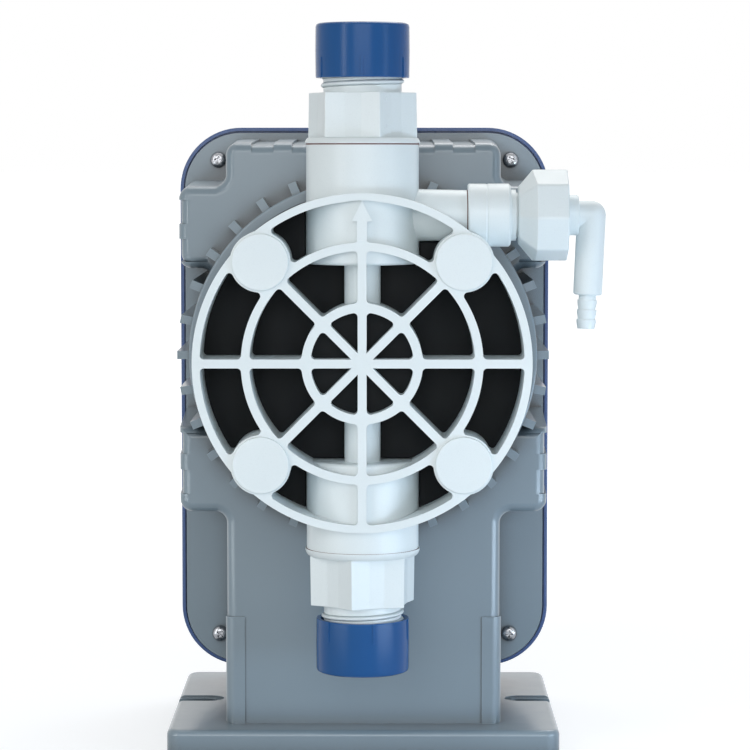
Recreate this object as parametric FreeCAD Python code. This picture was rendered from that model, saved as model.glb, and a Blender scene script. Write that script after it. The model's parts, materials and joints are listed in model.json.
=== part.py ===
import FreeCAD, Part
import math
import os

# Diaphragm metering pump with its head facing -Y, millimetres.
# Every piece is modelled round the pump axis, which runs along Y through x = 0, z = 0.
# At export the pieces are lifted, so that the base stands on z = 0.

V = FreeCAD.Vector
X_AXIS = V(1, 0, 0)
Y_AXIS = V(0, 1, 0)
Z_AXIS = V(0, 0, 1)

# Clearances
RUNNING_GAP = 0.05
FIT_GAP = 0.15
LOOSE_GAP = 0.3
PRESS_GAP = 0.03

# How far a cutting tool, or a piece joined to another, runs past the face it meets
OVERSHOOT = 1.0

# Edge breaks shared by small parts
EDGE_BREAK = 0.8
FINE_EDGE_BREAK = 0.5
HEX_KEY_R = 1.9
HEX_KEY_DEPTH = 2.0

# Base foot
BASE_WIDTH = 163.0
BASE_FRONT_Y = -75.0
BASE_REAR_Y = 66.0
BASE_HEIGHT = 10.0
BASE_WALL = 3.0
BASE_RIB = 2.5
BASE_CORNER_R = 6.0
BASE_EDGE_R = 2.5
AXIS_RISE = 155.5
SLOT_Y = -1.5
SLOT_WIDTH = 8.0
SLOT_LENGTH = 17.6
SLOT_RECESS_WIDTH = 13.0
SLOT_RECESS_DEPTH = 1.0
BASE_SCREW_X = 42.0
BASE_SCREW_FRONT_Y = -44.0
BASE_SCREW_REAR_Y = 6.0
BASE_SCREW_R = 2.4
BASE_SCREW_HEAD_R = 4.4
BASE_SCREW_HEAD_T = 2.6
BASE_SCREW_REACH = 11.0

# Barrel and casing
RIM_FRONT_Y = -74.0
BARREL_R = 71.4
BARREL_BORE_R = 62.0
FIN_COUNT = 32
FIN_TIP_R = 76.3
FIN_WIDTH = 3.4
FIN_SETBACK = 2.0
CASING_FRONT_Y = -59.0
FLANGE_FRONT_Y = 20.0
CASING_DRAFT = 2.0
CASING_WALL = 3.0
CASING_CONVEX_R = 5.2
CASING_CONCAVE_R = 5.0
CASING_EDGE_R = 4.0
TOP_BLOCK_HALF = 58.8
TOP_BLOCK_Z = 88.8
SHOULDER_HALF = 78.3
SHOULDER_TOP_Z = 70.8
SHOULDER_BOTTOM_Z = -68.4
WAIST_STEP = 14.0
WAIST_TOP_Z = 33.2
WAIST_BOTTOM_Z = -28.9
COLUMN_HALF = 58.8
COLUMN_FLOOR = 6.0
PAD_TOP_Z = -110.5
PAD_INNER_X = 49.5
PAD_PROUD = 0.6
NOTCH_DEPTH = 1.0
TOP_NOTCHES_X = ((-46.3, -37.0), (-29.5, 29.5), (37.0, 46.3))
SIDE_NOTCHES_Z = ((37.7, 47.2), (53.4, 63.3), (-42.2, -33.4), (-58.9, -48.8))
BOSS_R = 7.0
BOSS_REAR_Y = -40.0

# Rear flange, gasket and cover
FLANGE_T = 6.0
FLANGE_MARGIN = 0.6
FLANGE_TOP_Z = 91.5
FLANGE_BOTTOM_Z = -142.9
FLANGE_CORNER_R = 24.6
COVER_LIP = 2.4
COVER_GAP = 0.9
COVER_LAP = 2.0
GASKET_T = 1.2
COVER_REAR_Y = 60.0
COVER_WALL = 3.5
COVER_EDGE_R = 9.0
COVER_SCREW_SIDE_INSET = 14.7
COVER_SCREW_TOP_INSET = 11.8
COVER_SCREW_BOTTOM_INSET = 12.6
COVER_SCREW_R = 2.0
COVER_SCREW_HEAD_R = 3.5
COVER_SCREW_HEAD_T = 2.4
COVER_SCREW_LENGTH = 18.0
COVER_BOSS_R = 5.0
COVER_LIP_EDGE_R = 0.7
COVER_SCREW_DOME_R = 1.6
CROSS_HALF_LENGTH = 1.9
CROSS_HALF_WIDTH = 0.45
CROSS_DEPTH = 1.3
GASKET_BAND = 7.5
GASKET_EAR = 1.0

# Control panel on the rear face of the cover
PANEL_Z = 20.0
PANEL_WIDTH = 104.0
PANEL_HEIGHT = 88.0
PANEL_T = 2.0
PANEL_CORNER_R = 7.0
PANEL_LEDGE = 6.0
WINDOW_HEIGHT = 30.0
WINDOW_SIDE_MARGIN = 20.0
WINDOW_TOP_MARGIN = 9.0
WINDOW_T = 1.6
WINDOW_CORNER_R = 2.0
MODULE_MARGIN = 2.5
MODULE_T = 6.0
BOARD_T = 1.6
BOARD_MARGIN = 6.0
BOARD_POST_R = 3.0
BOARD_POST_OUTSET = 2.0
BOARD_POST_INSET_Z = 12.0
CHIP_SIZE = 18.0
CHIP_T = 2.0
PLUG_X = (-30.0, -14.0)
PLUG_HEIGHT = 7.0
PLUG_T = 7.0
KEY_R = 5.0
KEY_PROUD = 1.6
KEY_COLLAR = 1.2
KEY_COLLAR_T = 1.2
KEY_STEM_R = 2.0
KEY_EDGE_R = 0.7
KEY_TRAVEL = 0.8
KEY_SIDE_MARGIN = 18.0
KEY_ROW_SHARE = 3 / 22
KEY_NAMES = ("start_key", "menu_key", "down_key", "up_key", "enter_key")
LIGHT_R = 1.5
LIGHT_PROUD = 0.8
LIGHT_DOME_R = 1.0
LIGHT_COUNT = 3
LIGHT_SIDE_MARGIN = 40.0
LIGHT_ROW_SHARE = 7 / 22
SOCKET_X = 20.0
SOCKET_PITCH = 24.0
SOCKET_Z = -100.0
SOCKET_R = 6.0
SOCKET_FLANGE_R = 8.5
SOCKET_PROUD = 8.0
SOCKET_FLANGE_T = 2.0
SOCKET_TAIL = 5.0
SOCKET_WALL = 1.3
SOCKET_PIN_R = 0.6
SOCKET_PIN_CIRCLE_R = 2.4
SOCKET_PIN_RECESS = 2.0
SOCKET_FLOOR = 1.0
GLAND_X = -30.0
GLAND_R = 8.0
GLAND_HEX_R = 12.0
GLAND_BORE_R = 4.0
GLAND_PROUD = 20.0
GLAND_HEX_T = 5.0
GLAND_TAIL = 6.0
GLAND_TUBE_PROUD = 11.0
GLAND_TUBE_BORE_R = 5.0
GLAND_NUT_HEX_T = 8.0
GLAND_DOME_R = 10.4
GLAND_DOME_WAIST_R = 9.6
GLAND_DOME_WAIST_T = 3.5
GLAND_MOUTH_R = 7.0
POWER_BOARD_WIDTH = 104.0
POWER_BOARD_HEIGHT = 56.0
POWER_BOARD_Z = -72.0
POWER_BOARD_FRONT_Y = 42.5
POWER_POST_INSET = 5.0
TRANSFORMER_X = (-20.0, 14.0)
TRANSFORMER_Z = (-80.0, -50.0)
TRANSFORMER_T = 15.0
TERMINALS_X = (-44.0, 4.0)
TERMINALS_Z = (-98.0, -88.0)
TERMINALS_T = 9.0
CAPACITORS_X = (28.0, 42.0)
CAPACITOR_Z = -66.0
CAPACITOR_R = 6.0
CAPACITOR_T = 13.0

# Solenoid drive
YOKE_R = 46.0
YOKE_WALL = 5.0
YOKE_REAR_Y = 14.0
YOKE_PLATE_T = 5.0
POLE_R = 20.5
POLE_LENGTH = 8.3
COIL_BORE_R = 21.5
BOBBIN_FLANGE_T = 2.0
BOBBIN_FLANGE_RISE = 2.0
BOBBIN_SLOPE = 0.5
ARMATURE_REAR_Y = 12.8
STROKE = 3.0
STROKE_STOP_GAP = 0.2
SHAFT_R = 5.0
SHAFT_REAR_Y = 22.0
BEARING_R = 8.0
BEARING_LENGTH = 11.0
END_PLATE_T = 4.0
SPRING_WIRE_R = 1.1
SPRING_WIRE_ARCS = 8
SPRING_COIL_R = 8.6
SPRING_TURNS = 5
SPRING_SEAT_T = 3.0
SPRING_SEAT_R = 11.0
SPRING_SEAT_FRONT_Y = -48.0
YOKE_SCREW_R = 2.0
YOKE_SCREW_HEAD_R = 4.0
YOKE_SCREW_HEAD_T = 3.0
YOKE_SCREW_GRIP = 8.0

# Drive flange and diaphragm
DRIVE_FLANGE_R = 65.0
DRIVE_FLANGE_SEAT = 8.0
DRIVE_FLANGE_PROUD = 3.5
DRIVE_WEB_T = 4.0
DRIVE_RECESS_R = 18.0
DRIVE_SCREW_R = 2.0
DRIVE_SCREW_HEAD_R = 4.0
DRIVE_SCREW_CIRCLE_R = 57.0
DRIVE_SCREW_LENGTH = 19.0
DRIVE_SCREW_SINK = 0.3
DRIVE_SCREW_SEAT = 3.0
DRIVE_BOSS_R = 6.0
DRIVE_BOSS_FLOOR = 2.0
DIAPHRAGM_R = 64.6
DIAPHRAGM_T = 2.5
DIAPHRAGM_FOLD_R = 27.0
DIAPHRAGM_FOLD_TUBE_R = 1.9
INSERT_R = 14.0
INSERT_T = 1.5
INSERT_STEM_R = 8.0

# Pump head stack, counted forward from the diaphragm
HEAD_R = 65.0
HEAD_T = 14.0
HEAD_CAVITY_R = 38.0
HEAD_CAVITY_DEPTH = 5.5
FACE_PLATE_R = 67.3
FACE_PLATE_T = 4.0
WHEEL_DEPTH = 26.0
WHEEL_R = 67.0
WHEEL_RINGS = ((67.0, 63.9), (47.7, 44.4), (23.9, 20.3))
WHEEL_SPOKES = 8
SPOKE_WIDTH = 3.5
WHEEL_CORNER_R = 1.6
BOLT_XZ = 40.0
BOLT_BOSS_R = 11.9
BOLT_R = 3.0
BOLT_HEAD_R = 5.5
BOLT_HEAD_T = 6.0
BOLT_KEY_R = 2.8
BOLT_POCKET_R = 7.5
BOLT_POCKET_DEPTH = 11.0
WASHER_R = 6.9
WASHER_T = 1.2
BOLT_REAR_Y = -54.0
CAP_DISC_R = 11.25
CAP_PROUD = 1.5
CAP_PLUG_LENGTH = 2.6
CAP_PLUG_WALL = 1.85
ARROW_TIP_Z = 63.9
ARROW_HEAD_Z = 56.0
ARROW_TAIL_Z = 48.5
ARROW_HEAD_WIDTH = 8.3
ARROW_SHAFT_WIDTH = 3.9
ARROW_PROUD = 0.5
ARROW_ROOT = 1.5

# Valve chambers and passages
CHAMBER_R = 22.5
CHAMBER_EDGE_R = 1.5
CHAMBER_AXIS_DEPTH = 25.0
UPPER_CHAMBER_Z = (38.5, 86.0)
LOWER_CHAMBER_Z = (-40.1, -75.7)
CHAMBER_BORE_R = 16.0
UPPER_FLOOR_Z = 56.0
LOWER_FLOOR_Z = -47.5
PIPE_R = 7.2
PIPE_DEPTH = 18.0
PASSAGE_R = 3.5
PORT_PASSAGE_R = 3.0
PORT_BOSS_R = 6.0

# Valve bodies: collar, lobed wrench section and male threaded port
VALVE_GASKET_T = 0.5
COLLAR_R = 22.9
COLLAR_T = 2.3
COLLAR_CHAMFER = 0.8
LOBE_R = 22.3
LOBE_COUNT = 6
LOBE_VALLEY_R = 19.0
LOBE_VALLEY_ANGLE = 20.0
UPPER_WRENCH_LENGTH = 17.8
LOWER_WRENCH_LENGTH = 19.9
PORT_ROOT_R = 15.6
PORT_THREAD_R = 16.6
PORT_BORE_R = 10.0
SPIGOT_R = CHAMBER_BORE_R - FIT_GAP
UPPER_LOBE_TURN = -41.5
LOWER_LOBE_TURN = -11.0

# Ball valve cartridges
SEAT_T = 4.0
SEAT_BORE_R = 4.5
SEAT_CHAMFER = 1.5
BALL_R = 6.5
BALL_LIFT = 2.0
BALL_GAP = 0.05
CAGE_POSTS = 4
CAGE_POST_WIDTH = 4.0
CAGE_INNER_R = 7.0
STOP_BORE_R = 5.5
STOP_T = 3.2

# Transport caps on the ports
CAP_R = 18.8
CAP_LENGTH = 21.6
CAP_BORE_R = PORT_THREAD_R + LOOSE_GAP
CAP_END_T = 2.4
CAP_EDGE_R = 2.2
CAP_STANDOFF = 5.9
SLIT_COUNT = 6
SLIT_WIDTH = 0.7
SLIT_LENGTH = 8.0
UPPER_SLIT_TURN = 0.0
LOWER_SLIT_TURN = 14.0

# Air vent on the +X side of the upper chamber
VENT_Z = 57.9
BRANCH_ROOT_R = 10.5
BRANCH_END_R = 10.0
BRANCH_END_X = 41.6
VENT_BORE_R = 2.0
VENT_GASKET_T = 0.4
VENT_GASKET_MARGIN = 1.0
SLEEVE_R = 12.6
SLEEVE_END_X = 59.1
SLEEVE_COLLAR_R = 10.2
SLEEVE_COLLAR_END_X = 61.2
NECK_R = 9.0
NECK_END_X = 72.0
SLEEVE_BORE_R = 5.5
SLEEVE_BORE_DEPTH = 8.0
NUT_START_X = 62.0
NUT_CONE_LENGTH = 7.3
NUT_LENGTH = 19.9
NUT_R = 18.4
NUT_NOSE_R = 11.6
NUT_SIDES = 8
NUT_TURN = 3.0
NUT_WEB_GAP = 1.5
NUT_WEB_T = 1.5
NEEDLE_R = 3.5
NEEDLE_TIP_R = 0.6
NEEDLE_TIP_LENGTH = 4.6
NEEDLE_SHOULDER = 1.0
NEEDLE_HEAD_R = 5.3
NEEDLE_HEAD_T = 4.0
NEEDLE_END_X = 70.4
ELBOW_COLLAR_R = 8.1
ELBOW_COLLAR_T = 4.4
ELBOW_R = 5.8
ELBOW_SPIGOT_R = 5.0
ELBOW_X = 91.5
ELBOW_LEAN = 2.5
ELBOW_LEG = 31.9
ELBOW_BORE_R = 2.2
BARB_R = 3.5
BARB_RIDGE_R = 3.95
BARB_COUNT = 3
BARB_LENGTH = 13.6
BARB_LAND = 0.35
BARB_SLOPE_END = 0.9

# The port ends just short of the inside of its transport cap
PORT_LENGTH = CAP_STANDOFF + CAP_LENGTH - CAP_END_T - LOOSE_GAP

# Stations along Y that follow from the stack
BASE_TOP = -AXIS_RISE
BASE_BOTTOM = BASE_TOP - BASE_HEIGHT
SEAT_Y = RIM_FRONT_Y + DRIVE_FLANGE_SEAT
DRIVE_FRONT_Y = RIM_FRONT_Y - DRIVE_FLANGE_PROUD
HEAD_REAR_Y = DRIVE_FRONT_Y - DIAPHRAGM_T
HEAD_FRONT_Y = HEAD_REAR_Y - HEAD_T
PLATE_FRONT_Y = HEAD_FRONT_Y - FACE_PLATE_T
WHEEL_FRONT_Y = PLATE_FRONT_Y - WHEEL_DEPTH
CHAMBER_Y = WHEEL_FRONT_Y + CHAMBER_AXIS_DEPTH
PIPE_Y = WHEEL_FRONT_Y + PIPE_DEPTH
FLANGE_REAR_Y = FLANGE_FRONT_Y + FLANGE_T
COVER_FRONT_Y = FLANGE_REAR_Y - COVER_LAP
GASKET_REAR_Y = FLANGE_REAR_Y + GASKET_T
PANEL_BACK_Y = COVER_REAR_Y - PANEL_T
COVER_INNER_Y = COVER_REAR_Y - COVER_WALL
BOARD_FRONT_Y = PANEL_BACK_Y - MODULE_T
YOKE_FRONT_Y = BOSS_REAR_Y
POLE_REAR_Y = YOKE_FRONT_Y + YOKE_PLATE_T + POLE_LENGTH
ARMATURE_FRONT_Y = POLE_REAR_Y + STROKE + STROKE_STOP_GAP
SHAFT_FRONT_Y = HEAD_REAR_Y + 1

# Casing and flange widths that follow from the shoulders
WAIST_HALF = SHOULDER_HALF - WAIST_STEP
FLANGE_HALF = SHOULDER_HALF + FLANGE_MARGIN
COVER_SCREW_X = FLANGE_HALF - COVER_SCREW_SIDE_INSET
COVER_SCREW_TOP_Z = FLANGE_TOP_Z - COVER_SCREW_TOP_INSET
COVER_SCREW_BOTTOM_Z = FLANGE_BOTTOM_Z + COVER_SCREW_BOTTOM_INSET

# Rows of the control panel, measured from its top edge and its middle
WINDOW_WIDTH = PANEL_WIDTH - 2 * WINDOW_SIDE_MARGIN
WINDOW_Z = PANEL_Z + PANEL_HEIGHT / 2 - WINDOW_TOP_MARGIN - WINDOW_HEIGHT / 2
KEY_ROW_Z = PANEL_Z - PANEL_HEIGHT * KEY_ROW_SHARE
KEY_PITCH = (PANEL_WIDTH - 2 * KEY_SIDE_MARGIN) / (len(KEY_NAMES) - 1)
LIGHT_Z = PANEL_Z - PANEL_HEIGHT * LIGHT_ROW_SHARE
LIGHT_PITCH = (PANEL_WIDTH - 2 * LIGHT_SIDE_MARGIN) / (LIGHT_COUNT - 1)


def rod(radius, start, end):
    """Cylinder from one point to another."""
    run = end.sub(start)
    return Part.makeCylinder(radius, run.Length, start, run)


def rod_y(radius, y0, y1, x=0.0, z=0.0):
    """Cylinder along Y between two stations."""
    return rod(radius, V(x, y0, z), V(x, y1, z))


def rod_x(radius, x0, x1):
    """Cylinder on the axis of the vent."""
    return rod(radius, V(x0, CHAMBER_Y, VENT_Z), V(x1, CHAMBER_Y, VENT_Z))


def rod_z(radius, z0, z1, y=CHAMBER_Y, x=0.0):
    """Upright cylinder, on the axis of the valves unless told otherwise."""
    return rod(radius, V(x, y, z0), V(x, y, z1))


def block(x0, x1, y0, y1, z0, z1):
    """Box between two corners."""
    return Part.makeBox(x1 - x0, y1 - y0, z1 - z0, V(x0, y0, z0))


def lathe(profile, origin, axis):
    """Turns (radius, height) points round an axis that starts at origin."""
    points = [V(radius, 0, height) for radius, height in profile]
    face = Part.Face(Part.makePolygon(points + points[:1]))
    turned = face.revolve(V(0, 0, 0), Z_AXIS, 360)
    turned.Placement = FreeCAD.Placement(origin, FreeCAD.Rotation(Z_AXIS, axis))
    return turned


def fused(shapes):
    """One solid from several that touch or overlap."""
    return shapes[0].multiFuse(shapes[1:]).removeSplitter()


def grouped(shapes):
    """Separate solids kept in one piece, such as a set of screws."""
    return Part.makeCompound(shapes)


def round_edges(shape, radius, chosen):
    """Rounds each edge that the test picks."""
    return shape.makeFillet(radius, [edge for edge in shape.Edges if chosen(edge)])


def along(edge, axis):
    """Whether a straight edge runs along an axis."""
    if not isinstance(edge.Curve, Part.Line):
        return False
    return abs(abs(edge.Curve.Direction.dot(axis)) - 1) < 1e-6


def at_y(edge, y):
    """Whether an edge lies in the plane at a station."""
    return abs(edge.BoundBox.YMin - y) < 1e-4 and abs(edge.BoundBox.YMax - y) < 1e-4


def rounded_wire(corners, y):
    """Closed outline at a station through (x, z, radius) corners, each corner an arc."""
    arcs = []
    count = len(corners)
    for index in range(count):
        x, z, radius = corners[index]
        corner = V(x, y, z)
        before = corners[index - 1]
        after = corners[(index + 1) % count]
        back = V(before[0], y, before[1]).sub(corner).normalize()
        ahead = V(after[0], y, after[1]).sub(corner).normalize()
        if radius == 0:
            arcs.append((corner, None, corner))
            continue
        half = back.getAngle(ahead) / 2
        reach = radius / math.tan(half)
        middle_reach = radius / math.sin(half) - radius
        middle = back.add(ahead).normalize().multiply(middle_reach)
        arcs.append((corner.add(back * reach), corner.add(middle), corner.add(ahead * reach)))
    edges = []
    for index in range(count):
        start, middle, end = arcs[index]
        previous_end = arcs[index - 1][2]
        if previous_end.distanceToPoint(start) > 1e-6:
            edges.append(Part.makeLine(previous_end, start))
        if middle is not None:
            edges.append(Part.Arc(start, middle, end).toShape())
    return Part.Wire(edges)


def rounded_plate(half_width, z0, z1, radius, y0, y1):
    """Rounded rectangle, centred on x = 0, between two stations."""
    corners = [
        (-half_width, z0, radius),
        (half_width, z0, radius),
        (half_width, z1, radius),
        (-half_width, z1, radius),
    ]
    return Part.Face(rounded_wire(corners, y0)).extrude(V(0, y1 - y0, 0))


def prism(outline, start, run):
    """Prism from a closed list of points, pushed along a vector."""
    points = [start.add(point) for point in outline]
    return Part.Face(Part.makePolygon(points + points[:1])).extrude(run)


def polar(radius, degrees):
    """Point on a circle in the XZ plane, counted from +X towards +Z."""
    angle = math.radians(degrees)
    return V(radius * math.cos(angle), 0, radius * math.sin(angle))


def four_corners(x, z):
    """The four mirrored places of a fastening."""
    return [(sx * x, sz * z) for sx in (-1, 1) for sz in (-1, 1)]


def cover_screw_places():
    """Places of the screws that hold the rear cover."""
    return [(sx * COVER_SCREW_X, z) for sx in (-1, 1)
            for z in (COVER_SCREW_TOP_Z, COVER_SCREW_BOTTOM_Z)]


def base_screw_places():
    """Places of the screws between base and casing, seen from below."""
    return [(sx * BASE_SCREW_X, y) for sx in (-1, 1)
            for y in (BASE_SCREW_FRONT_Y, BASE_SCREW_REAR_Y)]


def base_foot():
    """Moulded foot: ribbed shell with an open slot in each side for a bolt."""
    half = BASE_WIDTH / 2
    depth = BASE_REAR_Y - BASE_FRONT_Y
    outer = block(-half, half, BASE_FRONT_Y, BASE_REAR_Y, BASE_BOTTOM, BASE_TOP)
    outer = round_edges(outer, BASE_CORNER_R, lambda edge: along(edge, Z_AXIS))
    outer = round_edges(outer, BASE_EDGE_R, lambda edge: edge.BoundBox.ZMin > BASE_TOP - 1e-4)
    inner = block(-half + BASE_WALL, half - BASE_WALL, BASE_FRONT_Y + BASE_WALL,
                  BASE_REAR_Y - BASE_WALL, BASE_BOTTOM, BASE_TOP - BASE_WALL)
    inner = round_edges(inner, BASE_CORNER_R - BASE_WALL, lambda edge: along(edge, Z_AXIS))
    shell = outer.cut(inner)
    ribs = []
    rib_top = BASE_TOP - BASE_WALL
    for x in (-BASE_SCREW_X, 0.0, BASE_SCREW_X):
        ribs.append(block(x - BASE_RIB / 2, x + BASE_RIB / 2, BASE_FRONT_Y + BASE_WALL,
                          BASE_REAR_Y - BASE_WALL, BASE_BOTTOM, rib_top))
    for y in (BASE_SCREW_FRONT_Y, SLOT_Y, BASE_REAR_Y - depth / 4):
        ribs.append(block(-half + BASE_WALL, half - BASE_WALL, y - BASE_RIB / 2,
                          y + BASE_RIB / 2, BASE_BOTTOM, rib_top))
    for x, y in base_screw_places():
        ribs.append(rod_z(BASE_SCREW_HEAD_R + BASE_WALL, BASE_BOTTOM, rib_top, y, x))
    slot_wall = SLOT_WIDTH / 2 + BASE_WALL
    cuts = []
    for side in (-1, 1):
        mouth = side * half
        centre = side * (half - SLOT_LENGTH + SLOT_WIDTH / 2)
        ribs.append(block(min(mouth, centre), max(mouth, centre), SLOT_Y - slot_wall,
                          SLOT_Y + slot_wall, BASE_BOTTOM, rib_top))
        ribs.append(rod_z(slot_wall, BASE_BOTTOM, rib_top, SLOT_Y, centre))
        beyond = side * (half + BASE_WALL)
        cuts.append(block(min(beyond, centre), max(beyond, centre), SLOT_Y - SLOT_WIDTH / 2,
                          SLOT_Y + SLOT_WIDTH / 2, BASE_BOTTOM, BASE_TOP))
        cuts.append(rod_z(SLOT_WIDTH / 2, BASE_BOTTOM, BASE_TOP, SLOT_Y, centre))
        recess = SLOT_RECESS_WIDTH / 2
        floor = BASE_TOP - SLOT_RECESS_DEPTH
        cuts.append(block(min(beyond, centre), max(beyond, centre), SLOT_Y - recess,
                          SLOT_Y + recess, floor, BASE_TOP))
        cuts.append(rod_z(recess, floor, BASE_TOP, SLOT_Y, centre))
    foot = fused([shell] + ribs).common(outer)
    for x, y in base_screw_places():
        cuts.append(rod_z(BASE_SCREW_R + FIT_GAP, BASE_BOTTOM, BASE_TOP, y, x))
        cuts.append(rod_z(BASE_SCREW_HEAD_R + LOOSE_GAP, BASE_BOTTOM,
                          BASE_TOP - BASE_WALL - BASE_RIB, y, x))
    return foot.cut(cuts)


def base_screws():
    """Screws driven up through the foot into the floor of the column."""
    screws = []
    seat = BASE_TOP - BASE_WALL - BASE_RIB
    for x, y in base_screw_places():
        head = rod_z(BASE_SCREW_HEAD_R, seat - BASE_SCREW_HEAD_T, seat, y, x)
        head = round_edges(head, EDGE_BREAK, lambda edge: edge.BoundBox.ZMax < seat - 1)
        shank = rod_z(BASE_SCREW_R, seat, seat + BASE_SCREW_REACH, y, x)
        screws.append(fused([head, shank]))
    return grouped(screws)


def casing_outline(grow, y):
    """Front silhouette of the casing, made larger or smaller all round."""
    convex, concave = CASING_CONVEX_R, CASING_CONCAVE_R
    top, shoulder = TOP_BLOCK_Z + grow, SHOULDER_TOP_Z + grow
    bottom = SHOULDER_BOTTOM_Z - grow
    waist_top, waist_bottom = WAIST_TOP_Z - grow, WAIST_BOTTOM_Z + grow
    half = [
        (TOP_BLOCK_HALF + grow, top, convex),
        (TOP_BLOCK_HALF + grow, shoulder, concave),
        (SHOULDER_HALF + grow, shoulder, convex),
        (SHOULDER_HALF + grow, waist_top, convex),
        (WAIST_HALF + grow, waist_top, concave),
        (WAIST_HALF + grow, waist_bottom, 0),
        (SHOULDER_HALF + grow, waist_bottom, 0),
        (SHOULDER_HALF + grow, bottom, convex),
        (COLUMN_HALF + grow, bottom, concave),
        (COLUMN_HALF + grow, BASE_TOP, 0),
    ]
    mirrored = [(-x, z, radius) for x, z, radius in reversed(half)]
    return rounded_wire(half + mirrored, y)


def casing_block(grow, front_y, rear_y, edge_r):
    """Drafted block behind the barrel, with its front edge rounded."""
    front = casing_outline(grow - CASING_DRAFT, front_y)
    rear = casing_outline(grow, rear_y)
    solid = Part.makeLoft([front, rear], True, True)
    if edge_r == 0:
        return solid
    return round_edges(solid, edge_r,
                       lambda edge: at_y(edge, front_y) and edge.BoundBox.ZMax > BASE_TOP + 1)


def casing_fins():
    """Radial fins round the barrel, from just behind the rim to the flange."""
    fins = []
    for index in range(FIN_COUNT):
        fin = block(BARREL_BORE_R + OVERSHOOT, FIN_TIP_R, RIM_FRONT_Y + FIN_SETBACK,
                    FLANGE_FRONT_Y, -FIN_WIDTH / 2, FIN_WIDTH / 2)
        fin.rotate(V(0, 0, 0), Y_AXIS, index * 360.0 / FIN_COUNT)
        fins.append(fin)
    return fins


def edge_notches():
    """Shallow steps along the top edge and down the sides of the shoulders."""
    bands = [block(x0, x1, CASING_FRONT_Y, FLANGE_FRONT_Y, SHOULDER_TOP_Z, TOP_BLOCK_Z + OVERSHOOT)
             for x0, x1 in TOP_NOTCHES_X]
    for z0, z1 in SIDE_NOTCHES_Z:
        for side in (-1, 1):
            x0, x1 = sorted((side * WAIST_HALF, side * (SHOULDER_HALF + OVERSHOOT)))
            bands.append(block(x0, x1, CASING_FRONT_Y, FLANGE_FRONT_Y, z0, z1))
    core = casing_block(-NOTCH_DEPTH, CASING_FRONT_Y, FLANGE_FRONT_Y, CASING_EDGE_R)
    return [band.cut(core) for band in bands]


def flange_plate(grow, y0, y1):
    """Outline shared by the casing's rear flange, the gasket and the cover."""
    return rounded_plate(FLANGE_HALF + grow, FLANGE_BOTTOM_Z - grow, FLANGE_TOP_Z + grow,
                         FLANGE_CORNER_R + grow, y0, y1)


def casing_cavity(y0, y1):
    """Inside of the casing, open at the rear."""
    room = casing_block(-CASING_WALL, y0, y1, 0)
    floor = block(-SHOULDER_HALF, SHOULDER_HALF, y0 - OVERSHOOT, y1 + OVERSHOOT,
                  BASE_TOP - OVERSHOOT, FLANGE_BOTTOM_Z + COLUMN_FLOOR)
    return room.cut(floor)


def main_casing():
    """Casing with finned barrel, shoulders, column and rear flange."""
    body = casing_block(0.0, CASING_FRONT_Y, FLANGE_FRONT_Y, CASING_EDGE_R)
    pads = casing_block(PAD_PROUD, CASING_FRONT_Y - PAD_PROUD, FLANGE_FRONT_Y, CASING_EDGE_R)
    for side in (-1, 1):
        x0, x1 = sorted((side * PAD_INNER_X, side * SHOULDER_HALF))
        body = body.fuse(pads.common(block(x0, x1, CASING_FRONT_Y - OVERSHOOT, FLANGE_FRONT_Y,
                                           BASE_TOP, PAD_TOP_Z)))
    body = body.cut(edge_notches())
    body = body.fuse(flange_plate(0.0, FLANGE_FRONT_Y, FLANGE_REAR_Y))
    body = body.cut(casing_cavity(CASING_FRONT_Y + CASING_WALL, FLANGE_REAR_Y))
    barrel = rod_y(BARREL_R, RIM_FRONT_Y, FLANGE_REAR_Y)
    barrel = round_edges(barrel, EDGE_BREAK, lambda edge: at_y(edge, RIM_FRONT_Y))
    body = body.multiFuse([barrel] + casing_fins())
    body = body.cut([
        rod_y(BARREL_BORE_R, SEAT_Y, FLANGE_REAR_Y),
        rod_y(DRIVE_FLANGE_R + LOOSE_GAP, RIM_FRONT_Y, SEAT_Y),
    ])
    bosses = []
    holes = []
    for x, z in four_corners(BOLT_XZ, BOLT_XZ):
        bosses.append(rod_y(BOSS_R, SEAT_Y, BOSS_REAR_Y, x, z))
        holes.append(rod_y(BOLT_R + RUNNING_GAP, SEAT_Y, BOLT_REAR_Y + OVERSHOOT, x, z))
        holes.append(rod_y(YOKE_SCREW_R + RUNNING_GAP, BOSS_REAR_Y - YOKE_SCREW_GRIP - OVERSHOOT,
                           BOSS_REAR_Y, x, z))
    screw_end = DRIVE_FRONT_Y + DRIVE_SCREW_LENGTH
    for quarter in range(4):
        place = polar(DRIVE_SCREW_CIRCLE_R, quarter * 90.0)
        bosses.append(rod_y(DRIVE_BOSS_R, SEAT_Y, screw_end + DRIVE_BOSS_FLOOR,
                            place.x, place.z))
        holes.append(rod_y(DRIVE_SCREW_R + RUNNING_GAP, SEAT_Y, screw_end + OVERSHOOT,
                           place.x, place.z))
    for x, z in cover_screw_places():
        holes.append(rod_y(COVER_SCREW_R + FIT_GAP, FLANGE_FRONT_Y, FLANGE_REAR_Y, x, z))
    for x, y in base_screw_places():
        holes.append(rod_z(BASE_SCREW_R + RUNNING_GAP, BASE_TOP,
                           FLANGE_BOTTOM_Z + COLUMN_FLOOR, y, x))
    return body.multiFuse(bosses).cut(holes).removeSplitter()


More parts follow.
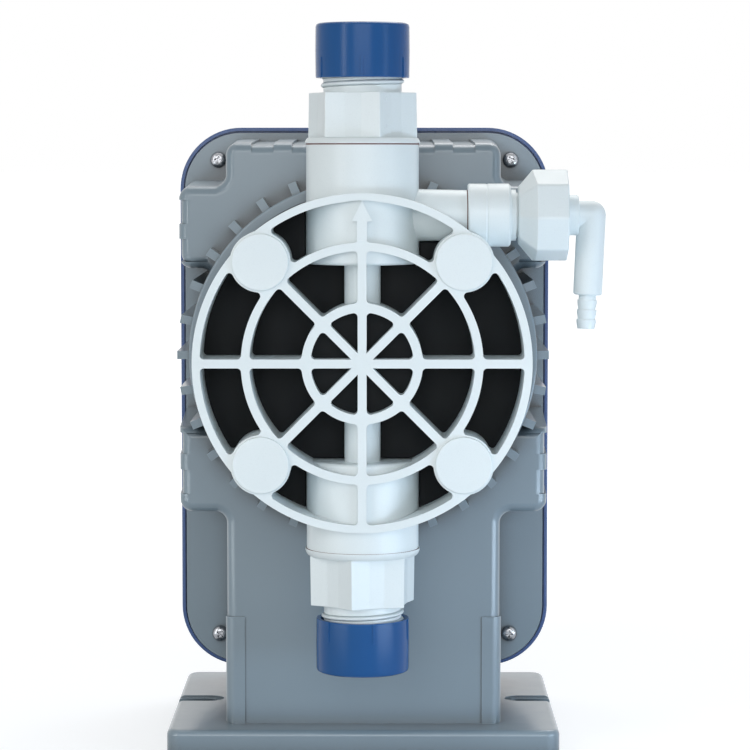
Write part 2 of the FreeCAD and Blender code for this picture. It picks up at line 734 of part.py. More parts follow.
def casing_gasket():
    """Flat seal between the flange and the rear cover."""
    sheet = flange_plate(0.0, FLANGE_REAR_Y, GASKET_REAR_Y)
    window = flange_plate(-GASKET_BAND, FLANGE_REAR_Y, GASKET_REAR_Y)
    corners = [rod_y(COVER_BOSS_R + GASKET_EAR, FLANGE_REAR_Y, GASKET_REAR_Y, x, z)
               for x, z in cover_screw_places()]
    holes = [rod_y(COVER_SCREW_R + FIT_GAP, FLANGE_REAR_Y, GASKET_REAR_Y, x, z)
             for x, z in cover_screw_places()]
    return sheet.cut(window).fuse(grouped(corners)).cut(holes).removeSplitter()


def panel_plate(shrink, y0, y1):
    """Rounded rectangle of the control panel."""
    half_height = PANEL_HEIGHT / 2 - shrink
    radius = max(PANEL_CORNER_R - shrink, 1.0)
    return rounded_plate(PANEL_WIDTH / 2 - shrink, PANEL_Z - half_height,
                         PANEL_Z + half_height, radius, y0, y1)


def socket_places():
    """Places of the signal sockets."""
    return [(SOCKET_X - SOCKET_PITCH / 2, SOCKET_Z), (SOCKET_X + SOCKET_PITCH / 2, SOCKET_Z)]


def board_posts():
    """Places of the posts that carry the control board."""
    x = PANEL_WIDTH / 2 - PANEL_LEDGE + BOARD_POST_OUTSET
    rise = PANEL_HEIGHT / 2 - BOARD_POST_INSET_Z
    return [(place_x, PANEL_Z + level) for place_x, level in four_corners(x, rise)]


def power_posts():
    """Places of the posts that carry the power board."""
    x = POWER_BOARD_WIDTH / 2 - POWER_POST_INSET
    rise = POWER_BOARD_HEIGHT / 2 - POWER_POST_INSET
    return [(place_x, POWER_BOARD_Z + level) for place_x, level in four_corners(x, rise)]


def rear_cover():
    """Deep moulded lid with the control panel's recess in its rear face."""
    grow = COVER_LIP
    outer = flange_plate(grow, COVER_FRONT_Y, COVER_REAR_Y)
    outer = round_edges(outer, COVER_EDGE_R, lambda edge: at_y(edge, COVER_REAR_Y))
    outer = round_edges(outer, COVER_LIP_EDGE_R, lambda edge: at_y(edge, COVER_FRONT_Y))
    lip = flange_plate(COVER_GAP, COVER_FRONT_Y, GASKET_REAR_Y)
    room = flange_plate(grow - COVER_WALL, GASKET_REAR_Y, COVER_INNER_Y)
    room = round_edges(room, COVER_EDGE_R - COVER_WALL, lambda edge: at_y(edge, COVER_INNER_Y))
    cover = outer.cut([lip, room])
    posts = [rod_y(COVER_BOSS_R, GASKET_REAR_Y, COVER_INNER_Y, x, z)
             for x, z in cover_screw_places()]
    posts += [rod_y(BOARD_POST_R, BOARD_FRONT_Y, COVER_INNER_Y, x, z) for x, z in board_posts()]
    posts += [rod_y(BOARD_POST_R, POWER_BOARD_FRONT_Y + BOARD_T, COVER_INNER_Y, x, z)
              for x, z in power_posts()]
    cover = cover.multiFuse(posts)
    cuts = [
        panel_plate(0.0, PANEL_BACK_Y, COVER_REAR_Y),
        panel_plate(PANEL_LEDGE, COVER_INNER_Y - OVERSHOOT, COVER_REAR_Y),
    ]
    cuts += [rod_y(COVER_SCREW_R + RUNNING_GAP, GASKET_REAR_Y,
                   FLANGE_FRONT_Y + COVER_SCREW_LENGTH + OVERSHOOT, x, z)
             for x, z in cover_screw_places()]
    cuts += [rod_y(SOCKET_R + FIT_GAP, COVER_INNER_Y, COVER_REAR_Y, x, z)
             for x, z in socket_places()]
    cuts.append(rod_y(GLAND_R + FIT_GAP, COVER_INNER_Y, COVER_REAR_Y, GLAND_X, SOCKET_Z))
    return cover.cut(cuts)


def cover_screws():
    """Pan-head screws through the flange, with a cross recess."""
    screws = []
    for x, z in cover_screw_places():
        face = FLANGE_FRONT_Y
        head = rod_y(COVER_SCREW_HEAD_R, face - COVER_SCREW_HEAD_T, face, x, z)
        head = round_edges(head, COVER_SCREW_DOME_R, lambda edge: edge.BoundBox.YMax < face - 1)
        shank = rod_y(COVER_SCREW_R, face, face + COVER_SCREW_LENGTH, x, z)
        front = face - COVER_SCREW_HEAD_T - OVERSHOOT
        bottom = face - COVER_SCREW_HEAD_T + CROSS_DEPTH
        arm, half = CROSS_HALF_LENGTH, CROSS_HALF_WIDTH
        cross = [block(x - arm, x + arm, front, bottom, z - half, z + half),
                 block(x - half, x + half, front, bottom, z - arm, z + arm)]
        screws.append(fused([head, shank]).cut(cross))
    return grouped(screws)


def key_places():
    """Places of the keys, left to right as seen from the front of the pump."""
    first = -KEY_PITCH * (len(KEY_NAMES) - 1) / 2
    return [(first + index * KEY_PITCH, KEY_ROW_Z) for index in range(len(KEY_NAMES))]


def light_places():
    """Places of the status lights."""
    first = -LIGHT_PITCH * (LIGHT_COUNT - 1) / 2
    return [(first + index * LIGHT_PITCH, LIGHT_Z) for index in range(LIGHT_COUNT)]


def window_plate(grow, y0, y1):
    """Rounded rectangle of the display window."""
    return rounded_plate(WINDOW_WIDTH / 2 + grow, WINDOW_Z - WINDOW_HEIGHT / 2 - grow,
                         WINDOW_Z + WINDOW_HEIGHT / 2 + grow, WINDOW_CORNER_R, y0, y1)


def panel_fascia():
    """Face of the control panel, with its window, key and light holes."""
    plate = panel_plate(LOOSE_GAP, PANEL_BACK_Y, COVER_REAR_Y)
    cuts = [window_plate(0.0, PANEL_BACK_Y, COVER_REAR_Y)]
    cuts += [rod_y(KEY_R + LOOSE_GAP, PANEL_BACK_Y, COVER_REAR_Y, x, z) for x, z in key_places()]
    cuts += [rod_y(LIGHT_R + FIT_GAP, PANEL_BACK_Y, COVER_REAR_Y, x, z)
             for x, z in light_places()]
    return plate.cut(cuts)


def display_window():
    """Clear pane over the display."""
    return window_plate(-FIT_GAP, PANEL_BACK_Y, PANEL_BACK_Y + WINDOW_T)


def display_module():
    """Display block between the pane and the control board."""
    return window_plate(MODULE_MARGIN, BOARD_FRONT_Y, PANEL_BACK_Y)


def control_key(x, z):
    """Round push key with a retaining collar and a stem over its switch."""
    collar_rear = PANEL_BACK_Y - FIT_GAP
    collar_front = collar_rear - KEY_COLLAR_T
    top = COVER_REAR_Y + KEY_PROUD
    cap = rod_y(KEY_R, collar_rear, top, x, z)
    cap = round_edges(cap, KEY_EDGE_R, lambda edge: at_y(edge, top))
    collar = rod_y(KEY_R + KEY_COLLAR, collar_front, collar_rear, x, z)
    stem = rod_y(KEY_STEM_R, BOARD_FRONT_Y + KEY_TRAVEL + LOOSE_GAP, collar_front, x, z)
    return fused([cap, collar, stem])


def status_lights():
    """Lamp domes that stand on the control board and show through the fascia."""
    lamps = []
    top = COVER_REAR_Y + LIGHT_PROUD
    for x, z in light_places():
        lamp = rod_y(LIGHT_R, BOARD_FRONT_Y, top, x, z)
        lamps.append(round_edges(lamp, LIGHT_DOME_R, lambda edge: at_y(edge, top)))
    return grouped(lamps)


def control_board():
    """Circuit board behind the panel, with its processor and connector."""
    half_width = PANEL_WIDTH / 2
    half_height = PANEL_HEIGHT / 2 - BOARD_MARGIN
    half_chip = CHIP_SIZE / 2
    back = BOARD_FRONT_Y - BOARD_T
    board = block(-half_width, half_width, back, BOARD_FRONT_Y,
                  PANEL_Z - half_height, PANEL_Z + half_height)
    chip = block(-half_chip, half_chip, back - CHIP_T, back,
                 PANEL_Z - half_chip, PANEL_Z + half_chip)
    plug_bottom = PANEL_Z - half_height + BOARD_POST_R
    plug = block(PLUG_X[0], PLUG_X[1], back - PLUG_T, back,
                 plug_bottom, plug_bottom + PLUG_HEIGHT)
    return fused([board, chip, plug])


def power_board():
    """Power board in the lower half, with transformer, capacitors and terminals."""
    half_width = POWER_BOARD_WIDTH / 2
    half_height = POWER_BOARD_HEIGHT / 2
    front = POWER_BOARD_FRONT_Y
    board = block(-half_width, half_width, front, front + BOARD_T,
                  POWER_BOARD_Z - half_height, POWER_BOARD_Z + half_height)
    transformer = block(*TRANSFORMER_X, front - TRANSFORMER_T, front, *TRANSFORMER_Z)
    terminals = block(*TERMINALS_X, front - TERMINALS_T, front, *TERMINALS_Z)
    capacitors = [rod_y(CAPACITOR_R, front - CAPACITOR_T, front, x, CAPACITOR_Z)
                  for x in CAPACITORS_X]
    return fused([board, transformer, terminals] + capacitors)


def signal_sockets():
    """Round panel sockets for the control signals."""
    sockets = []
    for x, z in socket_places():
        end = COVER_REAR_Y + SOCKET_PROUD
        flange = rod_y(SOCKET_FLANGE_R, COVER_REAR_Y, COVER_REAR_Y + SOCKET_FLANGE_T, x, z)
        barrel = rod_y(SOCKET_R, COVER_INNER_Y - SOCKET_TAIL, end, x, z)
        mouth = rod_y(SOCKET_R - SOCKET_WALL, COVER_REAR_Y + SOCKET_FLOOR, end, x, z)
        steps = [polar(SOCKET_PIN_CIRCLE_R, 45 + 90 * turn) for turn in range(4)]
        pins = [rod_y(SOCKET_PIN_R, COVER_REAR_Y, end - SOCKET_PIN_RECESS,
                      x + step.x, z + step.z) for step in steps]
        sockets.append(fused([flange, barrel]).cut(mouth).multiFuse(pins))
    return grouped(sockets)


def hexagon(radius, y0, y1, x, z):
    """Six-sided prism along Y."""
    return prism([polar(radius, 60 * index + 30) for index in range(6)], V(x, y0, z),
                 V(0, y1 - y0, 0))


def cable_gland():
    """Threaded gland body that clamps in the rear wall."""
    x, z = GLAND_X, SOCKET_Z
    start, end = COVER_INNER_Y - GLAND_TAIL, COVER_REAR_Y + GLAND_TUBE_PROUD
    flange = hexagon(GLAND_HEX_R, COVER_REAR_Y, COVER_REAR_Y + GLAND_HEX_T, x, z)
    tube = rod_y(GLAND_R, start, end, x, z)
    return fused([flange, tube]).cut(rod_y(GLAND_TUBE_BORE_R, start, end, x, z))


def gland_nut():
    """Domed nut of the gland, with the cord's entry through it."""
    x, z = GLAND_X, SOCKET_Z
    start, end = COVER_REAR_Y + GLAND_HEX_T + FIT_GAP, COVER_REAR_Y + GLAND_PROUD
    hexed = hexagon(GLAND_HEX_R, start, start + GLAND_NUT_HEX_T, x, z)
    dome_length = end - start - GLAND_NUT_HEX_T
    dome = lathe([(0, 0), (GLAND_DOME_R, 0), (GLAND_DOME_WAIST_R, GLAND_DOME_WAIST_T),
                  (GLAND_MOUTH_R, dome_length), (0, dome_length)],
                 V(x, start + GLAND_NUT_HEX_T, z), Y_AXIS)
    socket = rod_y(GLAND_R + FIT_GAP, start, COVER_REAR_Y + GLAND_TUBE_PROUD + FIT_GAP, x, z)
    return fused([hexed, dome]).cut([socket, rod_y(GLAND_BORE_R, start, end, x, z)])


def solenoid_yoke():
    """Steel cup of the magnet with its mounting plate and fixed pole."""
    plate_rear = YOKE_FRONT_Y + YOKE_PLATE_T
    plate = rod_y(BARREL_BORE_R - LOOSE_GAP, YOKE_FRONT_Y, plate_rear)
    wall = rod_y(YOKE_R, plate_rear, YOKE_REAR_Y).cut(
        rod_y(YOKE_R - YOKE_WALL, plate_rear, YOKE_REAR_Y))
    pole = rod_y(POLE_R, plate_rear, POLE_REAR_Y)
    holes = [rod_y(YOKE_SCREW_R + FIT_GAP, YOKE_FRONT_Y, plate_rear, x, z)
             for x, z in four_corners(BOLT_XZ, BOLT_XZ)]
    holes.append(rod_y(BEARING_R + RUNNING_GAP, YOKE_FRONT_Y, POLE_REAR_Y))
    return fused([plate, wall, pole]).cut(holes)


def solenoid_end_plate():
    """Rear plate of the magnet, which holds the rear bearing."""
    plate = rod_y(YOKE_R, YOKE_REAR_Y, YOKE_REAR_Y + END_PLATE_T)
    return plate.cut(rod_y(BEARING_R + RUNNING_GAP, YOKE_REAR_Y, YOKE_REAR_Y + END_PLATE_T))


def solenoid_coil():
    """Winding on its bobbin, with a flange at each end."""
    front, rear = YOKE_FRONT_Y + YOKE_PLATE_T + FIT_GAP, YOKE_REAR_Y - FIT_GAP
    outer = YOKE_R - YOKE_WALL - LOOSE_GAP
    winding = outer - BOBBIN_FLANGE_RISE
    length, slope_end = rear - front, BOBBIN_FLANGE_T + BOBBIN_SLOPE
    profile = [
        (COIL_BORE_R, 0), (outer, 0), (outer, BOBBIN_FLANGE_T), (winding, slope_end),
        (winding, length - slope_end), (outer, length - BOBBIN_FLANGE_T),
        (outer, length), (COIL_BORE_R, length),
    ]
    return lathe(profile, V(0, front, 0), Y_AXIS)


def yoke_screws():
    """Screws that hold the magnet's plate to the casing's bosses."""
    face = YOKE_FRONT_Y + YOKE_PLATE_T
    screws = []
    for x, z in four_corners(BOLT_XZ, BOLT_XZ):
        head = rod_y(YOKE_SCREW_HEAD_R, face, face + YOKE_SCREW_HEAD_T, x, z)
        socket = hexagon(HEX_KEY_R, face + YOKE_SCREW_HEAD_T - HEX_KEY_DEPTH,
                         face + YOKE_SCREW_HEAD_T, x, z)
        shank = rod_y(YOKE_SCREW_R, BOSS_REAR_Y - YOKE_SCREW_GRIP, face, x, z)
        screws.append(fused([head, shank]).cut(socket))
    return grouped(screws)


def armature():
    """Moving iron core on the drive shaft."""
    core = rod_y(POLE_R, ARMATURE_FRONT_Y, ARMATURE_REAR_Y)
    core = round_edges(core, EDGE_BREAK, lambda edge: at_y(edge, ARMATURE_REAR_Y))
    return core.cut(rod_y(SHAFT_R + PRESS_GAP, ARMATURE_FRONT_Y, ARMATURE_REAR_Y))


def drive_shaft():
    """Shaft from the armature to the diaphragm's insert."""
    shaft = rod_y(SHAFT_R, SHAFT_FRONT_Y, SHAFT_REAR_Y)
    return shaft.makeChamfer(EDGE_BREAK, [edge for edge in shaft.Edges if at_y(edge, SHAFT_REAR_Y)])


def bearing(y0):
    """Plain bush on the drive shaft."""
    return rod_y(BEARING_R, y0, y0 + BEARING_LENGTH).cut(
        rod_y(SHAFT_R + RUNNING_GAP, y0, y0 + BEARING_LENGTH))


def spring_seat():
    """Collar on the shaft that the return spring pushes."""
    rear = SPRING_SEAT_FRONT_Y + SPRING_SEAT_T
    return rod_y(SPRING_SEAT_R, SPRING_SEAT_FRONT_Y, rear).cut(
        rod_y(SHAFT_R + PRESS_GAP, SPRING_SEAT_FRONT_Y, rear))


def return_spring():
    """Coil spring between the drive flange and the collar."""
    start = SEAT_Y + SPRING_WIRE_R + RUNNING_GAP
    height = SPRING_SEAT_FRONT_Y - SPRING_WIRE_R - RUNNING_GAP - start
    helix = Part.makeHelix(height / SPRING_TURNS, height, SPRING_COIL_R)
    arc = 360.0 / SPRING_WIRE_ARCS
    section = Part.Wire([
        Part.makeCircle(SPRING_WIRE_R, V(SPRING_COIL_R, 0, 0), Y_AXIS, index * arc,
                        (index + 1) * arc) for index in range(SPRING_WIRE_ARCS)])
    spring = Part.Wire(helix.Edges).makePipeShell([section], True, True)
    spring.Placement = FreeCAD.Placement(V(0, start, 0), FreeCAD.Rotation(Z_AXIS, Y_AXIS))
    return spring


def drive_flange():
    """Round flange seated in the barrel's rim, which backs the diaphragm."""
    disc = rod_y(DRIVE_FLANGE_R, DRIVE_FRONT_Y, SEAT_Y)
    cuts = [
        rod_y(DRIVE_RECESS_R, DRIVE_FRONT_Y, SEAT_Y - DRIVE_WEB_T),
        rod_y(SHAFT_R + LOOSE_GAP, DRIVE_FRONT_Y, SEAT_Y),
    ]
    cuts += [rod_y(BOLT_R + FIT_GAP, DRIVE_FRONT_Y, SEAT_Y, x, z)
             for x, z in four_corners(BOLT_XZ, BOLT_XZ)]
    for quarter in range(4):
        place = polar(DRIVE_SCREW_CIRCLE_R, quarter * 90.0)
        cuts.append(rod_y(DRIVE_SCREW_R + FIT_GAP, DRIVE_FRONT_Y, SEAT_Y, place.x, place.z))
        cuts.append(rod_y(DRIVE_SCREW_HEAD_R + FIT_GAP, DRIVE_FRONT_Y,
                          DRIVE_FRONT_Y + DRIVE_SCREW_SEAT, place.x, place.z))
    return disc.cut(cuts)


def drive_flange_screws():
    """Screws that hold the drive flange in the rim."""
    screws = []
    for quarter in range(4):
        place = polar(DRIVE_SCREW_CIRCLE_R, quarter * 90.0)
        top, seat = DRIVE_FRONT_Y + DRIVE_SCREW_SINK, DRIVE_FRONT_Y + DRIVE_SCREW_SEAT
        head = rod_y(DRIVE_SCREW_HEAD_R, top, seat, place.x, place.z)
        shank = rod_y(DRIVE_SCREW_R, seat, DRIVE_FRONT_Y + DRIVE_SCREW_LENGTH, place.x, place.z)
        socket = hexagon(HEX_KEY_R, top, top + HEX_KEY_DEPTH, place.x, place.z)
        screws.append(fused([head, shank]).cut(socket))
    return grouped(screws)


def diaphragm():
    """Flexible disc clamped at its rim, with one rolled fold."""
    disc = rod_y(DIAPHRAGM_R, HEAD_REAR_Y, DRIVE_FRONT_Y)
    fold_y = HEAD_REAR_Y + DIAPHRAGM_T - DIAPHRAGM_FOLD_TUBE_R - RUNNING_GAP
    fold = Part.makeTorus(DIAPHRAGM_FOLD_R, DIAPHRAGM_FOLD_TUBE_R, V(0, fold_y, 0), Y_AXIS)
    cuts = [rod_y(INSERT_STEM_R + FIT_GAP, HEAD_REAR_Y - OVERSHOOT, DRIVE_FRONT_Y + OVERSHOOT)]
    cuts += [rod_y(BOLT_R + LOOSE_GAP, HEAD_REAR_Y, DRIVE_FRONT_Y, x, z)
             for x, z in four_corners(BOLT_XZ, BOLT_XZ)]
    return fused([disc, fold]).cut(cuts)


def diaphragm_insert():
    """Metal button in the middle of the diaphragm, screwed onto the shaft."""
    button = rod_y(INSERT_R, HEAD_REAR_Y - INSERT_T, HEAD_REAR_Y)
    button = round_edges(button, EDGE_BREAK, lambda edge: at_y(edge, HEAD_REAR_Y - INSERT_T))
    stem = rod_y(INSERT_STEM_R, HEAD_REAR_Y, DRIVE_FRONT_Y)
    hole = rod_y(SHAFT_R + PRESS_GAP, SHAFT_FRONT_Y, DRIVE_FRONT_Y)
    return fused([button, stem]).cut(hole)


def diaphragm_washer():
    """Washer behind the diaphragm, on the shaft."""
    rear = DRIVE_FRONT_Y + INSERT_T
    return rod_y(INSERT_R, DRIVE_FRONT_Y, rear).cut(
        rod_y(SHAFT_R + PRESS_GAP, DRIVE_FRONT_Y, rear))


def bolt_holes(radius, y0, y1):
    """Holes for the four head bolts."""
    return [rod_y(radius, y0, y1, x, z) for x, z in four_corners(BOLT_XZ, BOLT_XZ)]


def pump_head():
    """Liquid end: disc with pumping cavity, two valve chambers, pipe and vent branch."""
    top0, top1 = UPPER_CHAMBER_Z
    low0, low1 = LOWER_CHAMBER_Z
    behind = block(-CHAMBER_R - OVERSHOOT, CHAMBER_R + OVERSHOOT, HEAD_REAR_Y,
                   HEAD_REAR_Y + CHAMBER_R, low1 - OVERSHOOT, top1 + OVERSHOOT)
    upper = round_edges(rod_z(CHAMBER_R, top0, top1), CHAMBER_EDGE_R,
                        lambda edge: edge.BoundBox.ZMax < top0 + 1)
    lower = round_edges(rod_z(CHAMBER_R, low0, low1), CHAMBER_EDGE_R,
                        lambda edge: edge.BoundBox.ZMin > low0 - 1)
    disc = rod_y(HEAD_R, HEAD_FRONT_Y, HEAD_REAR_Y)
    pipe = rod_z(PIPE_R, low0 - OVERSHOOT, top0 + OVERSHOOT, PIPE_Y)
    port = rod_y(PORT_BOSS_R, PIPE_Y, HEAD_FRONT_Y)
    root_x = CHAMBER_BORE_R + OVERSHOOT
    branch = lathe([(0, 0), (BRANCH_ROOT_R, 0), (BRANCH_END_R, BRANCH_END_X - root_x),
                    (0, BRANCH_END_X - root_x)], V(root_x, CHAMBER_Y, VENT_Z), X_AXIS)
    solid = fused([disc, upper.cut(behind), lower.cut(behind), pipe, port, branch])
    cuts = [
        rod_y(HEAD_CAVITY_R, HEAD_REAR_Y - HEAD_CAVITY_DEPTH, HEAD_REAR_Y),
        rod_y(PORT_PASSAGE_R, PIPE_Y, HEAD_REAR_Y),
        rod_z(PASSAGE_R, LOWER_FLOOR_Z - OVERSHOOT, UPPER_FLOOR_Z + OVERSHOOT, PIPE_Y),
        rod_z(CHAMBER_BORE_R, UPPER_FLOOR_Z, top1),
        rod_z(CHAMBER_BORE_R, LOWER_FLOOR_Z, low1),
        rod_x(VENT_BORE_R, CHAMBER_BORE_R - OVERSHOOT, BRANCH_END_X),
        rod_x(SLEEVE_R + LOOSE_GAP, BRANCH_END_X, HEAD_R + OVERSHOOT),
    ]
    return solid.cut(cuts + bolt_holes(BOLT_R + LOOSE_GAP, HEAD_FRONT_Y, HEAD_REAR_Y))


def head_face_plate():
    """Dark plate in front of the head, notched round the chambers."""
    plate = rod_y(FACE_PLATE_R, PLATE_FRONT_Y, HEAD_FRONT_Y)
    half = CHAMBER_R + LOOSE_GAP
    cuts = [
        block(-half, half, PLATE_FRONT_Y, HEAD_FRONT_Y, UPPER_CHAMBER_Z[0] - LOOSE_GAP,
              FACE_PLATE_R + OVERSHOOT),
        block(-half, half, PLATE_FRONT_Y, HEAD_FRONT_Y, -FACE_PLATE_R - OVERSHOOT,
              LOWER_CHAMBER_Z[0] + LOOSE_GAP),
        rod_y(PORT_BOSS_R + LOOSE_GAP, PLATE_FRONT_Y, HEAD_FRONT_Y),
        rod_x(BRANCH_ROOT_R + LOOSE_GAP, CHAMBER_R / 2, BRANCH_END_X),
        rod_x(SLEEVE_R + LOOSE_GAP, BRANCH_END_X - LOOSE_GAP, FACE_PLATE_R),
    ]
    return plate.cut(cuts + bolt_holes(BOLT_R + LOOSE_GAP, PLATE_FRONT_Y, HEAD_FRONT_Y))


def wheel_openings():
    """Openings between rings and spokes, with rounded corners."""
    front, rear = WHEEL_FRONT_Y, PLATE_FRONT_Y
    spokes = []
    for index in range(WHEEL_SPOKES // 2):
        bar = block(-WHEEL_R, WHEEL_R, front, rear, -SPOKE_WIDTH / 2, SPOKE_WIDTH / 2)
        bar.rotate(V(0, 0, 0), Y_AXIS, index * 360.0 / WHEEL_SPOKES)
        spokes.append(bar)
    solid = spokes + bolt_bosses(front, rear)
    openings = []
    bands = [(WHEEL_RINGS[0][1], WHEEL_RINGS[1][0]), (WHEEL_RINGS[1][1], WHEEL_RINGS[2][0]),
             (WHEEL_RINGS[2][1], 0.0)]
    for outer, inner in bands:
        band = rod_y(outer, front, rear)
        if inner > 0:
            band = band.cut(rod_y(inner, front, rear))
        for opening in band.cut(solid).Solids:
            openings.append(round_edges(opening, WHEEL_CORNER_R,
                                        lambda edge: along(edge, Y_AXIS)))
    return openings


def bolt_bosses(front, rear):
    """Round bosses of the wheel over the head bolts."""
    return [rod_y(BOLT_BOSS_R, front, rear, x, z) for x, z in four_corners(BOLT_XZ, BOLT_XZ)]


def flow_arrow():
    """Raised arrow on the top spoke that shows the flow direction."""
    half_head, half_shaft = ARROW_HEAD_WIDTH / 2, ARROW_SHAFT_WIDTH / 2
    outline = [
        V(-half_shaft, 0, ARROW_TAIL_Z), V(half_shaft, 0, ARROW_TAIL_Z),
        V(half_shaft, 0, ARROW_HEAD_Z), V(half_head, 0, ARROW_HEAD_Z),
        V(0, 0, ARROW_TIP_Z), V(-half_head, 0, ARROW_HEAD_Z), V(-half_shaft, 0, ARROW_HEAD_Z),
    ]
    front = WHEEL_FRONT_Y - ARROW_PROUD
    return prism(outline, V(0, front, 0), V(0, ARROW_PROUD + ARROW_ROOT, 0))


def head_wheel():
    """Spoked wheel that presses the head together, notched round the pipework."""
    front, rear = WHEEL_FRONT_Y, PLATE_FRONT_Y
    wheel = fused([rod_y(WHEEL_R, front, rear)] + bolt_bosses(front, rear))
    wheel = wheel.cut(wheel_openings())
    wheel = wheel.fuse(flow_arrow())
    gap = LOOSE_GAP
    top0, top1 = UPPER_CHAMBER_Z
    low0, low1 = LOWER_CHAMBER_Z
    cuts = [
        rod_z(CHAMBER_R + gap, top0 - gap, top1),
        rod_z(CHAMBER_R + gap, low0 + gap, low1),
        rod_z(PIPE_R + gap, low0, top0, PIPE_Y),
        block(-PIPE_R - gap, PIPE_R + gap, PIPE_Y, rear, low0, top0),
        block(-CHAMBER_R - gap, CHAMBER_R + gap, CHAMBER_Y, rear,
              top0 - gap, WHEEL_R + OVERSHOOT),
        block(-CHAMBER_R - gap, CHAMBER_R + gap, CHAMBER_Y, rear,
              -WHEEL_R - OVERSHOOT, low0 + gap),
        rod_x(BRANCH_ROOT_R + gap, CHAMBER_R - 2 * OVERSHOOT, BRANCH_END_X),
        rod_x(SLEEVE_R + gap, BRANCH_END_X - gap, WHEEL_R),
    ]
    cuts += bolt_holes(BOLT_R + gap, front, rear)
    cuts += bolt_holes(BOLT_POCKET_R, front, front + BOLT_POCKET_DEPTH)
    return wheel.cut(cuts)


def head_washers():
    """Washers under the heads of the head bolts."""
    floor = WHEEL_FRONT_Y + BOLT_POCKET_DEPTH
    return grouped([rod_y(WASHER_R, floor - WASHER_T, floor, x, z).cut(
        rod_y(BOLT_R + FIT_GAP, floor - WASHER_T, floor, x, z))
        for x, z in four_corners(BOLT_XZ, BOLT_XZ)])


def head_bolts():
    """Socket-head bolts through the wheel, head and diaphragm into the casing."""
    seat = WHEEL_FRONT_Y + BOLT_POCKET_DEPTH - WASHER_T
    bolts = []
    for x, z in four_corners(BOLT_XZ, BOLT_XZ):
        head = rod_y(BOLT_HEAD_R, seat - BOLT_HEAD_T, seat, x, z)
        socket = hexagon(BOLT_KEY_R, seat - BOLT_HEAD_T, seat - BOLT_HEAD_T / 2, x, z)
        bolts.append(fused([head, rod_y(BOLT_R, seat, BOLT_REAR_Y, x, z)]).cut(socket))
    return grouped(bolts)


def bolt_cap(x, z):
    """Press-in cap that covers one head bolt."""
    front = WHEEL_FRONT_Y
    disc = rod_y(CAP_DISC_R, front - CAP_PROUD, front, x, z)
    disc = round_edges(disc, FINE_EDGE_BREAK, lambda edge: at_y(edge, front - CAP_PROUD))
    plug = rod_y(BOLT_POCKET_R - FIT_GAP, front, front + CAP_PLUG_LENGTH, x, z)
    hollow = rod_y(BOLT_POCKET_R - FIT_GAP - CAP_PLUG_WALL, front, front + CAP_PLUG_LENGTH, x, z)
    return fused([disc, plug]).cut(hollow)


def lobed_section(turn, z0, z1):
    """Wrench section: six ridges with a shallow valley across each side."""
    outline = []
    for index in range(LOBE_COUNT):
        ridge = turn - 90 + index * 360.0 / LOBE_COUNT
        step = 360.0 / LOBE_COUNT
        for radius, angle in ((LOBE_R, ridge), (LOBE_VALLEY_R, ridge + LOBE_VALLEY_ANGLE),
                              (LOBE_VALLEY_R, ridge + step - LOBE_VALLEY_ANGLE)):
            heading = math.radians(angle)
            outline.append(V(radius * math.cos(heading), radius * math.sin(heading), 0))
    return prism(outline, V(0, CHAMBER_Y, z0), V(0, 0, z1 - z0))


def valve_body(face_z, up, spigot_length, wrench_length, turn):
    """Valve body screwed into a chamber: spigot, collar, wrench section and threaded port."""
    gasket = VALVE_GASKET_T
    wrench0 = gasket + COLLAR_T
    wrench1 = wrench0 + wrench_length
    end = wrench1 + PORT_LENGTH
    profile = [
        (0, -spigot_length), (SPIGOT_R, -spigot_length), (SPIGOT_R, gasket), (COLLAR_R, gasket),
        (COLLAR_R, wrench0 - COLLAR_CHAMFER), (COLLAR_R - COLLAR_CHAMFER, wrench0),
        (PORT_ROOT_R, wrench0), (PORT_ROOT_R, end - EDGE_BREAK), (PORT_ROOT_R - EDGE_BREAK, end),
        (0, end),
    ]
    axis = Z_AXIS if up > 0 else V(0, 0, -1)
    turned = lathe(profile, V(0, CHAMBER_Y, face_z), axis)
    z0, z1 = sorted((face_z + up * wrench0, face_z + up * wrench1))
    bore = rod_z(PORT_BORE_R, face_z - up * spigot_length, face_z + up * end)
    return fused([turned, lobed_section(turn, z0, z1)]).cut(bore)


def valve_gasket(face_z, up):
    """Flat seal between a chamber's end and the collar."""
    end = face_z + up * VALVE_GASKET_T
    return rod_z(COLLAR_R - LOOSE_GAP, face_z, end).cut(rod_z(SPIGOT_R + FIT_GAP, face_z, end))


def ball_rise():
    """Height of the resting ball's centre over the seat's top face."""
    return BALL_R * math.sqrt(2) - SEAT_BORE_R - SEAT_CHAMFER + BALL_GAP


def cartridge_length():
    """Height of a seat with its cage."""
    stop = ball_rise() + BALL_LIFT + math.sqrt(BALL_R ** 2 - STOP_BORE_R ** 2) + BALL_GAP
    return SEAT_T + stop + STOP_T


def valve_seat(z):
    """Ball seat with the cage that guides the ball and stops its lift."""
    height = cartridge_length()
    seat = lathe([(SEAT_BORE_R, 0), (SPIGOT_R, 0), (SPIGOT_R, SEAT_T),
                  (SEAT_BORE_R + SEAT_CHAMFER, SEAT_T), (SEAT_BORE_R, SEAT_T - SEAT_CHAMFER)],
                 V(0, CHAMBER_Y, z), Z_AXIS)
    stop = rod_z(SPIGOT_R, z + height - STOP_T, z + height).cut(
        rod_z(STOP_BORE_R, z + height - STOP_T, z + height))
    tube = rod_z(SPIGOT_R, z + SEAT_T, z + height - STOP_T).cut(
        rod_z(CAGE_INNER_R, z + SEAT_T, z + height - STOP_T))
    half = CAGE_POST_WIDTH / 2
    arms = [block(-SPIGOT_R, SPIGOT_R, CHAMBER_Y - half, CHAMBER_Y + half, z, z + height),
            block(-half, half, CHAMBER_Y - SPIGOT_R, CHAMBER_Y + SPIGOT_R, z, z + height)]
    return fused([seat, stop, tube.common(fused(arms))])


